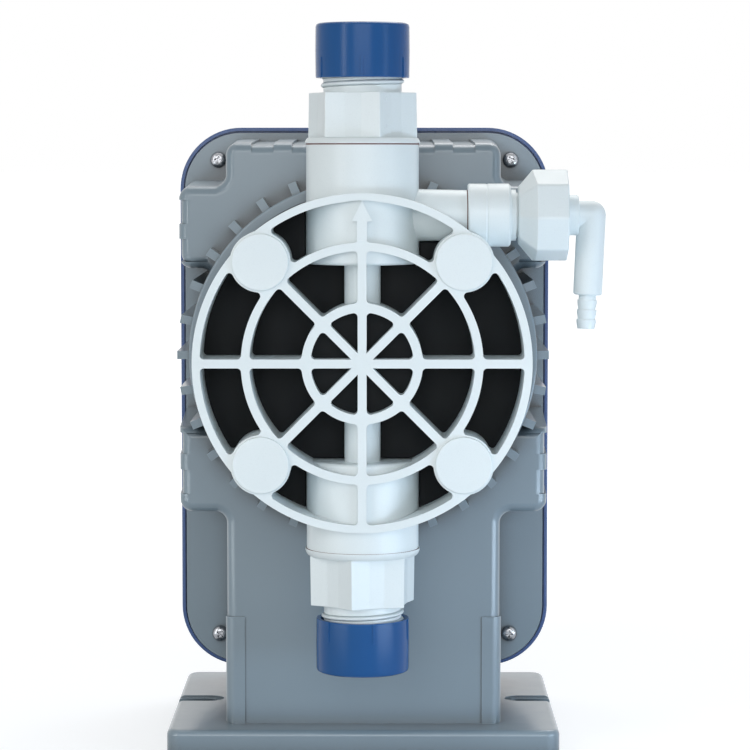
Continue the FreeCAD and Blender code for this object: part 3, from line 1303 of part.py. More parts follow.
def valve_ball(seat_z):
    """Ball resting on its seat."""
    return Part.makeSphere(BALL_R, V(0, CHAMBER_Y, seat_z + SEAT_T + ball_rise()))


def transport_cap(mouth_z, up, turn):
    """Slit cap pushed over a threaded port."""
    profile = [
        (CAP_BORE_R, 0), (CAP_R, 0), (CAP_R, CAP_LENGTH), (0, CAP_LENGTH),
        (0, CAP_LENGTH - CAP_END_T), (CAP_BORE_R, CAP_LENGTH - CAP_END_T),
    ]
    axis = Z_AXIS if up > 0 else V(0, 0, -1)
    cap = lathe(profile, V(0, CHAMBER_Y, mouth_z), axis)
    closed = mouth_z + up * CAP_LENGTH
    cap = round_edges(cap, CAP_EDGE_R, lambda edge: abs(edge.BoundBox.ZMin - closed) < 1e-4
                      and abs(edge.BoundBox.ZMax - closed) < 1e-4)
    z0, z1 = sorted((mouth_z, mouth_z + up * SLIT_LENGTH))
    slits = []
    for index in range(SLIT_COUNT // 2):
        slit = block(-SLIT_WIDTH / 2, SLIT_WIDTH / 2, CHAMBER_Y - CAP_R - OVERSHOOT,
                     CHAMBER_Y + CAP_R + OVERSHOOT, z0, z1)
        slit.rotate(V(0, CHAMBER_Y, 0), Z_AXIS, turn + index * 360.0 / SLIT_COUNT)
        slits.append(slit)
    return cap.cut(slits)


def vent_gasket():
    """Flat seal between the branch and the vent's sleeve."""
    end = BRANCH_END_X + VENT_GASKET_T
    hole = rod_x(VENT_BORE_R + VENT_GASKET_MARGIN, BRANCH_END_X, end)
    return rod_x(BRANCH_END_R, BRANCH_END_X, end).cut(hole)


def vent_sleeve():
    """Sleeve of the vent with a collar and the neck that carries the nut."""
    start = BRANCH_END_X + VENT_GASKET_T
    profile = [
        (0, 0), (SLEEVE_R, 0), (SLEEVE_R, SLEEVE_END_X - start - EDGE_BREAK),
        (SLEEVE_R - EDGE_BREAK, SLEEVE_END_X - start), (SLEEVE_COLLAR_R, SLEEVE_END_X - start),
        (SLEEVE_COLLAR_R, SLEEVE_COLLAR_END_X - start), (NECK_R, SLEEVE_COLLAR_END_X - start),
        (NECK_R, NECK_END_X - start), (0, NECK_END_X - start),
    ]
    sleeve = lathe(profile, V(start, CHAMBER_Y, VENT_Z), X_AXIS)
    return sleeve.cut([rod_x(VENT_BORE_R, start, NECK_END_X),
                       rod_x(NEEDLE_R + FIT_GAP, start + NEEDLE_TIP_LENGTH, NECK_END_X),
                       rod_x(SLEEVE_BORE_R, NECK_END_X - SLEEVE_BORE_DEPTH, NECK_END_X)])


def octagon(radius, x):
    """Eight-sided outline across the vent's axis."""
    points = []
    for index in range(NUT_SIDES):
        angle = math.radians(NUT_TURN + index * 360.0 / NUT_SIDES)
        points.append(V(x, CHAMBER_Y - radius * math.cos(angle), VENT_Z + radius * math.sin(angle)))
    return Part.makePolygon(points + points[:1])


def vent_nut():
    """Eight-sided nut of the vent, coned towards the sleeve."""
    shoulder = NUT_START_X + NUT_CONE_LENGTH
    end = NUT_START_X + NUT_LENGTH
    cone = Part.makeLoft([octagon(NUT_NOSE_R, NUT_START_X), octagon(NUT_R, shoulder)], True, True)
    grip = Part.Face(octagon(NUT_R, shoulder)).extrude(V(end - shoulder, 0, 0))
    web_start = NECK_END_X + NUT_WEB_GAP
    cuts = [
        rod_x(NECK_R + RUNNING_GAP, NUT_START_X, web_start),
        rod_x(ELBOW_SPIGOT_R + RUNNING_GAP, web_start, end),
    ]
    return fused([cone, grip]).cut(cuts)


def vent_needle():
    """Needle that the nut lifts from its seat in the sleeve."""
    start = BRANCH_END_X + VENT_GASKET_T + LOOSE_GAP
    body = NEEDLE_END_X - start
    profile = [
        (0, 0), (NEEDLE_TIP_R, 0), (VENT_BORE_R - FIT_GAP, NEEDLE_TIP_LENGTH),
        (NEEDLE_R, NEEDLE_TIP_LENGTH + NEEDLE_SHOULDER), (NEEDLE_R, body - NEEDLE_HEAD_T),
        (NEEDLE_HEAD_R, body - NEEDLE_HEAD_T), (NEEDLE_HEAD_R, body), (0, body),
    ]
    return lathe(profile, V(start, CHAMBER_Y, VENT_Z), X_AXIS)


def vent_elbow():
    """Outlet elbow with a ribbed hose tail, turned down."""
    nut_end = NUT_START_X + NUT_LENGTH
    spigot_start = NECK_END_X + NUT_WEB_GAP + NUT_WEB_T
    lean = math.radians(ELBOW_LEAN)
    down = V(-math.sin(lean), 0, -math.cos(lean))
    corner = V(ELBOW_X, CHAMBER_Y, VENT_Z)
    foot = corner.add(down * ELBOW_LEG)
    tip = foot.add(down * BARB_LENGTH)
    collar = rod_x(ELBOW_COLLAR_R, nut_end + RUNNING_GAP, nut_end + ELBOW_COLLAR_T)
    solids = [
        rod_x(ELBOW_SPIGOT_R, spigot_start, nut_end + OVERSHOOT),
        collar,
        rod_x(ELBOW_R, nut_end + ELBOW_COLLAR_T / 2, ELBOW_X),
        Part.makeSphere(ELBOW_R, corner),
        rod(ELBOW_R, corner, foot),
        rod(BARB_R, foot, tip),
    ]
    ridge = BARB_LENGTH / (BARB_COUNT + 0.5)
    profile = [(0, 0), (BARB_RIDGE_R, 0), (BARB_RIDGE_R, ridge * BARB_LAND),
               (BARB_R, ridge * BARB_SLOPE_END), (0, ridge * BARB_SLOPE_END)]
    for index in range(BARB_COUNT):
        solids.append(lathe(profile, foot.add(down * (ridge * (index + 0.5))), down))
    elbow = fused(solids)
    return elbow.cut([rod_x(ELBOW_BORE_R, spigot_start, ELBOW_X),
                      rod(ELBOW_BORE_R, corner, tip)])


def build_pieces():
    """Every piece of the pump by name."""
    upper_face, lower_face = UPPER_CHAMBER_Z[1], LOWER_CHAMBER_Z[1]
    upper_seat_z = UPPER_FLOOR_Z
    upper_spigot = upper_face - (upper_seat_z + cartridge_length() + FIT_GAP)
    lower_seat_z = LOWER_FLOOR_Z - FIT_GAP - cartridge_length()
    lower_spigot = lower_seat_z - lower_face
    cap_start = VALVE_GASKET_T + COLLAR_T + CAP_STANDOFF
    upper_cap_z = upper_face + cap_start + UPPER_WRENCH_LENGTH
    lower_cap_z = lower_face - cap_start - LOWER_WRENCH_LENGTH
    pieces = {
        "base_foot": base_foot(),
        "base_screws": base_screws(),
        "main_casing": main_casing(),
        "casing_gasket": casing_gasket(),
        "rear_cover": rear_cover(),
        "cover_screws": cover_screws(),
        "panel_fascia": panel_fascia(),
        "display_window": display_window(),
        "display_module": display_module(),
        "status_lights": status_lights(),
        "control_board": control_board(),
        "power_board": power_board(),
        "signal_sockets": signal_sockets(),
        "cable_gland": cable_gland(),
        "gland_nut": gland_nut(),
        "solenoid_yoke": solenoid_yoke(),
        "solenoid_end_plate": solenoid_end_plate(),
        "solenoid_coil": solenoid_coil(),
        "yoke_screws": yoke_screws(),
        "armature": armature(),
        "drive_shaft": drive_shaft(),
        "front_bearing": bearing(YOKE_FRONT_Y + LOOSE_GAP),
        "rear_bearing": bearing(YOKE_REAR_Y - RUNNING_GAP),
        "spring_seat": spring_seat(),
        "return_spring": return_spring(),
        "drive_flange": drive_flange(),
        "drive_flange_screws": drive_flange_screws(),
        "diaphragm": diaphragm(),
        "diaphragm_insert": diaphragm_insert(),
        "diaphragm_washer": diaphragm_washer(),
        "pump_head": pump_head(),
        "head_face_plate": head_face_plate(),
        "head_wheel": head_wheel(),
        "head_washers": head_washers(),
        "head_bolts": head_bolts(),
        "discharge_valve_body": valve_body(upper_face, 1, upper_spigot,
                                           UPPER_WRENCH_LENGTH, UPPER_LOBE_TURN),
        "suction_valve_body": valve_body(lower_face, -1, lower_spigot,
                                         LOWER_WRENCH_LENGTH, LOWER_LOBE_TURN),
        "discharge_gasket": valve_gasket(upper_face, 1),
        "suction_gasket": valve_gasket(lower_face, -1),
        "discharge_seat": valve_seat(upper_seat_z),
        "suction_seat": valve_seat(lower_seat_z),
        "discharge_ball": valve_ball(upper_seat_z),
        "suction_ball": valve_ball(lower_seat_z),
        "discharge_cap": transport_cap(upper_cap_z, 1, UPPER_SLIT_TURN),
        "suction_cap": transport_cap(lower_cap_z, -1, LOWER_SLIT_TURN),
        "vent_gasket": vent_gasket(),
        "vent_sleeve": vent_sleeve(),
        "vent_nut": vent_nut(),
        "vent_needle": vent_needle(),
        "vent_elbow": vent_elbow(),
    }
    for name, (x, z) in zip(KEY_NAMES, key_places()):
        pieces[name] = control_key(x, z)
    corners = {"upper_left": (-1, 1), "upper_right": (1, 1),
               "lower_left": (-1, -1), "lower_right": (1, -1)}
    for name, (side, level) in corners.items():
        pieces["bolt_cap_" + name] = bolt_cap(side * BOLT_XZ, level * BOLT_XZ)
    return pieces


os.makedirs("parts", exist_ok=True)
lift = V(0, 0, -BASE_BOTTOM)
for node, shape in build_pieces().items():
    shape.translate(lift)
    shape.exportStep(os.path.join("parts", node + ".step"))
    box = shape.BoundBox
    print(node, len(shape.Solids), shape.isValid(), round(shape.Volume, 1),
          [round(value, 2) for value in (box.XMin, box.XMax, box.YMin, box.YMax,
                                         box.ZMin, box.ZMax)])
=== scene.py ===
import json
import logging
import math
from dataclasses import dataclass, field
from enum import Enum
from typing import Sequence

import bmesh
import bpy
from mathutils import Matrix, Vector


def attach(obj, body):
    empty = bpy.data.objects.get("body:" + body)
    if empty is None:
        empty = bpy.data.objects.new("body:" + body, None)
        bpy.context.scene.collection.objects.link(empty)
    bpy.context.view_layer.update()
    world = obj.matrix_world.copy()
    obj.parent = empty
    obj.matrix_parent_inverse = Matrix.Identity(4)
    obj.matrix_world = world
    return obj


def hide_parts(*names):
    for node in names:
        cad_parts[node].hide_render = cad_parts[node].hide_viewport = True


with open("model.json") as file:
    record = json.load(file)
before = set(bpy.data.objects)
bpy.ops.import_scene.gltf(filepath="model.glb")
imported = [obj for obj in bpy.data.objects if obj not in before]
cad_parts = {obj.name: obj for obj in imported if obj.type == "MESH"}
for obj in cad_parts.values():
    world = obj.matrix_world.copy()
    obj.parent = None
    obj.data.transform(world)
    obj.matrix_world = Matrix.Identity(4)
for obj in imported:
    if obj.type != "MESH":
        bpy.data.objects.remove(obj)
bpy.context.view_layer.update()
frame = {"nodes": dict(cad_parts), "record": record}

log = logging.getLogger("metering_pump")

MM = 0.001
AXIS_Z = 165.5
CHAMBER_Y = -99.0
VENT_Z = 223.4
WHEEL_FRONT_Y = -124.0
CAP_STEPS = 192
ROUND_STEPS = 128
MID_STEPS = 96
SMALL_STEPS = 64
BORE_STEPS = 48
TINY_STEPS = 32
SMOOTH_ANGLE = 28.0
FLAT_ANGLE = 0.003
MERGE_REACH = 1e-7
POLE_REACH = 1e-8
CAD_MERGE_REACH = 2e-6
CAD_FLAT_ANGLE = 0.4

Colour = tuple[float, float, float]
Point = tuple[float, float, float]


class Heading(Enum):
    """Directions along which round pieces are turned."""

    UP = (0.0, 0.0, 1.0)
    DOWN = (0.0, 0.0, -1.0)
    FRONT = (0.0, -1.0, 0.0)
    RIGHT = (1.0, 0.0, 0.0)

    def turn(self) -> Matrix:
        """Rotation that takes +Z to this direction."""
        return Vector((0, 0, 1)).rotation_difference(Vector(self.value)).to_matrix().to_4x4()


class ShaderSketch:
    """A material's node tree with one principled shader, drawn on Object coordinates."""

    def __init__(self, name: str) -> None:
        """Starts an empty material.

        Args:
            name: The material's name.
        """
        self.material = bpy.data.materials.new(name)
        self.material.use_nodes = True
        self.tree = self.material.node_tree
        self.tree.nodes.clear()
        output = self.add("ShaderNodeOutputMaterial")
        self.shader = self.add("ShaderNodeBsdfPrincipled")
        self.link(self.shader.outputs["BSDF"], output.inputs["Surface"])
        self.place = self.add("ShaderNodeTexCoord").outputs["Object"]

    def add(self, kind: str, **settings: object) -> bpy.types.Node:
        """Adds a node and sets its attributes.

        Args:
            kind: The node's type name.
            settings: Attributes to set on it.

        Returns:
            The new node.
        """
        node = self.tree.nodes.new(kind)
        for key, value in settings.items():
            setattr(node, key, value)
        return node

    def link(self, source: bpy.types.NodeSocket, target: bpy.types.NodeSocket) -> None:
        """Joins two sockets."""
        self.tree.links.new(source, target)

    def stretched(self, scale: Point, turn: Point = (0.0, 0.0, 0.0)) -> bpy.types.NodeSocket:
        """Object coordinates that are turned and scaled.

        Args:
            scale: Factor along each axis.
            turn: Euler angles in radians.

        Returns:
            The vector socket.
        """
        mapping = self.add("ShaderNodeMapping")
        mapping.inputs["Scale"].default_value = scale
        mapping.inputs["Rotation"].default_value = turn
        self.link(self.place, mapping.inputs["Vector"])
        return mapping.outputs["Vector"]

    def noise(self, size_mm: float, detail: float = 3.0, rough: float = 0.55,
              vector: bpy.types.NodeSocket | None = None) -> bpy.types.NodeSocket:
        """Noise whose features are about this size.

        Args:
            size_mm: Feature size.
            detail: Octaves.
            rough: Weight of the finer octaves.
            vector: Coordinates, if not plain Object ones.

        Returns:
            The factor socket.
        """
        node = self.add("ShaderNodeTexNoise")
        node.inputs["Scale"].default_value = 1000.0 / size_mm
        node.inputs["Detail"].default_value = detail
        node.inputs["Roughness"].default_value = rough
        self.link(vector or self.place, node.inputs["Vector"])
        return node.outputs["Fac"]

    def cells(self, size_mm: float) -> bpy.types.NodeSocket:
        """Distance from the nearest of many scattered points.

        Args:
            size_mm: Usual distance between the points.

        Returns:
            The distance socket.
        """
        node = self.add("ShaderNodeTexVoronoi")
        node.inputs["Scale"].default_value = 1000.0 / size_mm
        self.link(self.place, node.inputs["Vector"])
        return node.outputs["Distance"]

    def rows(self, scale: float, gap: float, offset: float = 0.5) -> bpy.types.NodeSocket:
        """Rows of oblong cells on the faces that look to the rear.

        Args:
            scale: Scale of the rows.
            gap: Width of the gaps between the cells.
            offset: Shift of every second row.

        Returns:
            The factor socket, which is 1 in the gaps.
        """
        node = self.add("ShaderNodeTexBrick", offset=offset)
        node.inputs["Scale"].default_value = scale
        node.inputs["Mortar Size"].default_value = gap
        upright = self.stretched((1.0, 1.0, 1.0), (math.pi / 2, 0.0, 0.0))
        self.link(upright, node.inputs["Vector"])
        return node.outputs["Fac"]

    def spread(self, value: bpy.types.NodeSocket, low: float, high: float,
               start: float = 0.3, end: float = 0.7) -> bpy.types.NodeSocket:
        """Maps a value from one range to another, clamped.

        Args:
            value: Socket to map.
            low: Result at start.
            high: Result at end.
            start: Lower input.
            end: Upper input.

        Returns:
            The result socket.
        """
        node = self.add("ShaderNodeMapRange")
        self.link(value, node.inputs["Value"])
        for key, number in (("From Min", start), ("From Max", end), ("To Min", low),
                            ("To Max", high)):
            node.inputs[key].default_value = number
        return node.outputs["Result"]

    def math(self, operation: str, first: bpy.types.NodeSocket,
             second: bpy.types.NodeSocket | float) -> bpy.types.NodeSocket:
        """One arithmetic step on a socket.

        Args:
            operation: Blender's name of the step.
            first: First value.
            second: Second value, a socket or a number.

        Returns:
            The result socket.
        """
        node = self.add("ShaderNodeMath", operation=operation)
        self.link(first, node.inputs[0])
        if isinstance(second, (int, float)):
            node.inputs[1].default_value = second
        else:
            self.link(second, node.inputs[1])
        return node.outputs["Value"]

    def blend(self, amount: bpy.types.NodeSocket, first: Colour | bpy.types.NodeSocket,
              second: Colour | bpy.types.NodeSocket) -> bpy.types.NodeSocket:
        """Mixes two colours.

        Args:
            amount: Share of the second colour.
            first: Colour or socket.
            second: Colour or socket.

        Returns:
            The mixed colour socket.
        """
        node = self.add("ShaderNodeMix", data_type="RGBA")
        self.link(amount, node.inputs["Factor"])
        for socket, value in ((node.inputs[6], first), (node.inputs[7], second)):
            if isinstance(value, tuple):
                socket.default_value = (*value, 1.0)
            else:
                self.link(value, socket)
        return node.outputs[2]

    def painted_edge_highlight(self, reach_mm: float) -> bpy.types.NodeSocket:
        """Share of painted highlight at each point near an edge, where a rounded normal leaves the
        face's.

        Args:
            reach_mm: Reach of the rounding.

        Returns:
            A factor that is 1 where the painted edge highlight is full.
        """
        # Painted highlight: edges are lightened in the colour, with no lamp behind it
        geometry = self.add("ShaderNodeNewGeometry")
        rounded = self.add("ShaderNodeBevel", samples=4)
        rounded.inputs["Radius"].default_value = reach_mm * MM
        match = self.add("ShaderNodeVectorMath", operation="DOT_PRODUCT")
        self.link(rounded.outputs["Normal"], match.inputs[0])
        self.link(geometry.outputs["Normal"], match.inputs[1])
        # Below the first match an edge gets the full painted highlight, above the second none
        full_highlight, flat = 0.75, 0.985
        edge = self.spread(match.outputs["Value"], 1.0, 0.0, full_highlight, flat)
        patchy = self.spread(self.noise(3.0), 0.5, 1.0)
        return self.math("MULTIPLY", edge, patchy)

    def pocket_shade(self, reach_mm: float, share: float) -> bpy.types.NodeSocket:
        """Share of painted shade at each point, more in narrow pockets.

        Args:
            reach_mm: How far a pocket's walls are felt.
            share: Largest share.

        Returns:
            The factor socket.
        """
        # Painted shade: darker where ambient occlusion finds near walls
        node = self.add("ShaderNodeAmbientOcclusion", samples=6)
        node.inputs["Distance"].default_value = reach_mm * MM
        narrow, clear = 0.30, 0.80
        return self.spread(node.outputs["AO"], share, 0.0, narrow, clear)

    def relief(self, height: bpy.types.NodeSocket, strength: float, depth_mm: float,
               below: bpy.types.NodeSocket | None = None) -> bpy.types.NodeSocket:
        """Bump from a height.

        Args:
            height: Height socket.
            strength: Strength of the bump.
            depth_mm: Depth of a unit of height.
            below: Normal of a coarser relief under this one.

        Returns:
            The normal socket.
        """
        node = self.add("ShaderNodeBump")
        node.inputs["Strength"].default_value = strength
        node.inputs["Distance"].default_value = depth_mm * MM
        self.link(height, node.inputs["Height"])
        if below is not None:
            self.link(below, node.inputs["Normal"])
        return node.outputs["Normal"]

    def wear(self, colour: bpy.types.NodeSocket | None = None,
             roughness: bpy.types.NodeSocket | None = None,
             normal: bpy.types.NodeSocket | None = None, **values: object) -> None:
        """Joins the patterns to the shader and sets its plain values.

        Args:
            colour: Pattern of the colour.
            roughness: Pattern of the roughness.
            normal: Normal of the relief.
            values: Plain values by the name of their socket, with underscores for spaces.
        """
        for key, socket in (("Base Color", colour), ("Roughness", roughness),
                            ("Normal", normal)):
            if socket is not None:
                self.link(socket, self.shader.inputs[key])
        for key, value in values.items():
            name = key.replace("_", " ")
            self.shader.inputs[name].default_value = value


@dataclass(frozen=True)
class MouldedPlastic:
    """Injection-moulded plastic with pigment clouding, fine grain, soft scuffs, painted highlights
    along its edges and painted shade in its pockets.
    """

    name: str
    colour: Colour
    shade: Colour
    roughness: float = 0.42
    grain_mm: float = 0.35
    grain_depth_mm: float = 0.02
    cloud_mm: float = 34.0
    # Share of the painted highlight along edges
    edge: float = 0.25
    coat: float = 0.0
    coat_roughness: float = 0.2
    specular: float = 0.5
    speck: float = 0.22
    rub: float = 0.06
    flow_depth_mm: float = 0.06
    flow_mm: float = 14.0
    # Painted shade in narrow pockets: its largest share, reach and near-black colour
    painted_shade: float = 0.0
    painted_shade_mm: float = 14.0
    painted_shade_colour: Colour = (0.02, 0.026, 0.03)
    speck_mm: float = 0.5
    speck_shade: float = 0.82
    # Reach, gain and lift of the painted edge highlight
    highlight_reach_mm: float = 0.5
    highlight_gain: float = 1.35
    highlight_lift: float = 0.02
    rub_mm: float = 9.0
    rub_stretch: Point = (1.0, 1.0, 0.18)

    def build(self) -> bpy.types.Material:
        """Builds the material.

        Returns:
            The material.
        """
        sketch = ShaderSketch(self.name)
        cloud = sketch.spread(sketch.noise(self.cloud_mm, 4.0), 0.0, 1.0)
        colour = sketch.blend(cloud, self.colour, self.shade)
        specks = sketch.spread(sketch.noise(self.speck_mm, 2.0), 0.0, self.speck, 0.55, 0.75)
        dark = tuple(channel * self.speck_shade for channel in self.shade)
        colour = sketch.blend(specks, colour, dark)
        # Painted highlight: edges lighten towards a paler copy of the colour
        highlight_colour = tuple(min(1.0, channel * self.highlight_gain + self.highlight_lift)
                     for channel in self.colour)
        edge_highlight_share = sketch.math("MULTIPLY", sketch.painted_edge_highlight(self.highlight_reach_mm), self.edge)
        colour = sketch.blend(edge_highlight_share, colour, highlight_colour)
        # Painted shade: narrow pockets, gaps between fins and recesses darken towards a near-black
        # colour
        if self.painted_shade > 0:
            pockets = sketch.pocket_shade(self.painted_shade_mm, self.painted_shade)
            colour = sketch.blend(pockets, colour, self.painted_shade_colour)
        rubbed = sketch.noise(self.rub_mm, 5.0, 0.6, sketch.stretched(self.rub_stretch))
        roughness = sketch.spread(rubbed, self.roughness - self.rub, self.roughness + self.rub)
        flow = sketch.relief(sketch.noise(self.flow_mm, 2.0), 0.25, self.flow_depth_mm)
        grain = sketch.relief(sketch.noise(self.grain_mm, 3.0), 0.4, self.grain_depth_mm, flow)
        sketch.wear(colour, roughness, grain, Coat_Weight=self.coat,
                    Coat_Roughness=self.coat_roughness,
                    Specular_IOR_Level=self.specular)
        return sketch.material


@dataclass(frozen=True)
class Metal:
    """Machined or plated metal with fine tool marks."""

    name: str
    colour: Colour
    roughness: float
    marks: Point = (1.0, 12.0, 1.0)
    tarnish: Colour = (0.30, 0.28, 0.25)
    tarnish_share: float = 0.18
    tarnish_mm: float = 6.0
    mark_mm: float = 1.2
    mark_depth_mm: float = 0.01
    roughness_spread: tuple[float, float] = (0.75, 1.35)

    def build(self) -> bpy.types.Material:
        """Builds the material.

        Returns:
            The material.
        """
        sketch = ShaderSketch(self.name)
        marks = sketch.noise(self.mark_mm, 4.0, 0.7, sketch.stretched(self.marks))
        stain = sketch.spread(sketch.noise(self.tarnish_mm, 5.0), 0.0, self.tarnish_share,
                              0.45, 0.8)
        colour = sketch.blend(stain, self.colour, self.tarnish)
        smooth, rough = self.roughness_spread
        roughness = sketch.spread(marks, self.roughness * smooth, self.roughness * rough)
        normal = sketch.relief(marks, 0.3, self.mark_depth_mm)
        sketch.wear(colour, roughness, normal, Metallic=1.0)
        return sketch.material


@dataclass(frozen=True)
class Elastomer:
    """Matt rubber or fluoropolymer with a dusty bloom."""

    name: str
    colour: Colour
    bloom: Colour
    roughness: float = 0.7
    bloom_mm: float = 5.0
    patch_mm: float = 1.5
    smoother: float = 0.08
    rougher: float = 0.12
    grain_mm: float = 0.25
    grain_depth_mm: float = 0.02

    def build(self) -> bpy.types.Material:
        """Builds the material.

        Returns:
            The material.
        """
        sketch = ShaderSketch(self.name)
        bloom = sketch.spread(sketch.noise(self.bloom_mm, 5.0), 0.0, 0.5, 0.4, 0.75)
        colour = sketch.blend(bloom, self.colour, self.bloom)
        roughness = sketch.spread(sketch.noise(self.patch_mm), self.roughness - self.smoother,
                                  self.roughness + self.rougher)
        normal = sketch.relief(sketch.noise(self.grain_mm, 3.0), 0.5, self.grain_depth_mm)
        sketch.wear(colour, roughness, normal)
        return sketch.material


@dataclass(frozen=True)
class Winding:
    """Enamelled wire wound in close turns under a clear tape."""

    name: str
    wire: Colour = (0.52, 0.20, 0.06)
    gap: Colour = (0.12, 0.04, 0.015)
    wire_scale: float = 300.0
    unevenness: float = 0.3
    wire_depth_mm: float = 0.15

    def build(self) -> bpy.types.Material:
        """Builds the material.

        Returns:
            The material.
        """
        sketch = ShaderSketch(self.name)
        wave = sketch.add("ShaderNodeTexWave", bands_direction="Y")
        wave.inputs["Scale"].default_value = self.wire_scale
        wave.inputs["Distortion"].default_value = self.unevenness
        sketch.link(sketch.place, wave.inputs["Vector"])
        turns = wave.outputs["Fac"]
        colour = sketch.blend(turns, self.gap, self.wire)
        roughness = sketch.spread(sketch.noise(3.0), 0.28, 0.42)
        normal = sketch.relief(turns, 0.8, self.wire_depth_mm)
        sketch.wear(colour, roughness, normal, Metallic=0.6, Coat_Weight=0.5)
        return sketch.material


@dataclass(frozen=True)
class CircuitBoard:
    """Green solder mask over copper traces."""

    name: str
    mask: Colour = (0.012, 0.11, 0.05)
    trace: Colour = (0.03, 0.22, 0.08)
    pad: Colour = (0.55, 0.50, 0.40)
    pad_mm: float = 4.0
    pad_rim: tuple[float, float] = (0.08, 0.14)
    trace_scale: float = 160.0
    trace_width: float = 0.06
    trace_depth_mm: float = 0.03

    def build(self) -> bpy.types.Material:
        """Builds the material.

        Returns:
            The material.
        """
        sketch = ShaderSketch(self.name)
        traces = sketch.rows(self.trace_scale, self.trace_width)
        colour = sketch.blend(traces, self.mask, self.trace)
        pads = sketch.spread(sketch.cells(self.pad_mm), 1.0, 0.0, *self.pad_rim)
        colour = sketch.blend(pads, colour, self.pad)
        roughness = sketch.spread(sketch.noise(2.0), 0.25, 0.4)
        sketch.wear(colour, roughness, sketch.relief(traces, 0.5, self.trace_depth_mm))
        return sketch.material


@dataclass(frozen=True)
class ClearPane:
    """Clear polycarbonate pane with faint wipe marks."""

    name: str
    tint: Colour = (0.86, 0.93, 0.95)
    haze: Colour = (0.78, 0.86, 0.90)
    haze_share: float = 0.25
    wipe_mm: float = 6.0
    wipe_stretch: Point = (0.2, 1.0, 1.0)
    wipe_roughness: tuple[float, float] = (0.02, 0.09)
    refraction: float = 1.49

    def build(self) -> bpy.types.Material:
        """Builds the material.

        Returns:
            The material.
        """
        sketch = ShaderSketch(self.name)
        wipes = sketch.noise(self.wipe_mm, 4.0, 0.6, sketch.stretched(self.wipe_stretch))
        haze = sketch.spread(wipes, 0.0, self.haze_share)
        colour = sketch.blend(haze, self.tint, self.haze)
        sketch.wear(colour, sketch.spread(wipes, *self.wipe_roughness),
                    Transmission_Weight=1.0, IOR=self.refraction)
        return sketch.material


@dataclass(frozen=True)
class SegmentDisplay:
    """Grey-green display with faint rows of cells."""

    name: str
    cell: Colour = (0.27, 0.38, 0.20)
    gap: Colour = (0.20, 0.29, 0.15)
    cloud: Colour = (0.33, 0.44, 0.26)
    cloud_mm: float = 20.0
    cell_scale: float = 700.0
    gap_width: float = 0.08

    def build(self) -> bpy.types.Material:
        """Builds the material.

        Returns:
            The material.
        """
        sketch = ShaderSketch(self.name)
        cells = sketch.rows(self.cell_scale, self.gap_width, 0.0)
        colour = sketch.blend(cells, self.cell, self.gap)
        cloud = sketch.spread(sketch.noise(self.cloud_mm), 0.0, 0.3)
        colour = sketch.blend(cloud, colour, self.cloud)
        sketch.wear(colour, sketch.spread(sketch.noise(3.0), 0.2, 0.3))
        return sketch.material


# Each plastic's edge share is a painted highlight along its edges; the casing's pocket share is
# painted shade
FINISHES = {
    finish.name: finish for finish in (
        MouldedPlastic("head_plastic", (0.75, 0.81, 0.82), (0.72, 0.785, 0.80), 0.36,
                       grain_depth_mm=0.008, edge=0.3),
        MouldedPlastic("casing_plastic", (0.184, 0.244, 0.286), (0.177, 0.236, 0.278), 0.34,
                       grain_mm=0.5, grain_depth_mm=0.006, edge=0.9, coat=0.5,
                       coat_roughness=0.14, speck=0.08, painted_shade=0.85,
                       rub=0.02, flow_depth_mm=0.015),
        MouldedPlastic("cover_blue", (0.035, 0.085, 0.235), (0.03, 0.075, 0.21), 0.30,
                       edge=0.2),
        MouldedPlastic("cap_blue", (0.012, 0.085, 0.26), (0.011, 0.08, 0.245), 0.22,
                       grain_depth_mm=0.003, edge=0.9, specular=0.18, speck=0.1, rub=0.02,
                       flow_depth_mm=0.01),
        MouldedPlastic("plate_black", (0.004, 0.006, 0.007), (0.006, 0.008, 0.010), 0.5,
                       edge=0.05, specular=0.12),
        Metal("steel", (0.56, 0.56, 0.55), 0.28),
        Metal("chrome_screw", (0.34, 0.35, 0.37), 0.22, tarnish_share=0.10),
        Winding("copper_winding"),
        Elastomer("rubber_black", (0.012, 0.012, 0.013), (0.035, 0.035, 0.037)),
        Elastomer("seal_brown", (0.11, 0.03, 0.025), (0.16, 0.06, 0.05), 0.6),
        Elastomer("diaphragm_white", (0.80, 0.80, 0.77), (0.72, 0.72, 0.70), 0.5),
        MouldedPlastic("ceramic", (0.86, 0.85, 0.80), (0.82, 0.81, 0.76), 0.10,
                       grain_depth_mm=0.002, edge=0.0),
        Metal("bronze", (0.55, 0.36, 0.16), 0.35),
        CircuitBoard("board_green"),
        MouldedPlastic("panel_grey", (0.62, 0.66, 0.68), (0.58, 0.62, 0.65), 0.38,
                       grain_mm=0.2, grain_depth_mm=0.01, edge=0.1),
        SegmentDisplay("display_dark"),
        ClearPane("window_clear"),
        MouldedPlastic("key_blue", (0.04, 0.12, 0.32), (0.035, 0.10, 0.28), 0.4, edge=0.3),
        MouldedPlastic("key_green", (0.03, 0.28, 0.09), (0.025, 0.24, 0.08), 0.4, edge=0.3),
        MouldedPlastic("lamp", (0.50, 0.05, 0.03), (0.42, 0.04, 0.03), 0.12, edge=0.0,
                       coat=0.6),
        MouldedPlastic("gland_black", (0.012, 0.012, 0.014), (0.016, 0.016, 0.018), 0.38,
                       edge=0.3),
    )
}


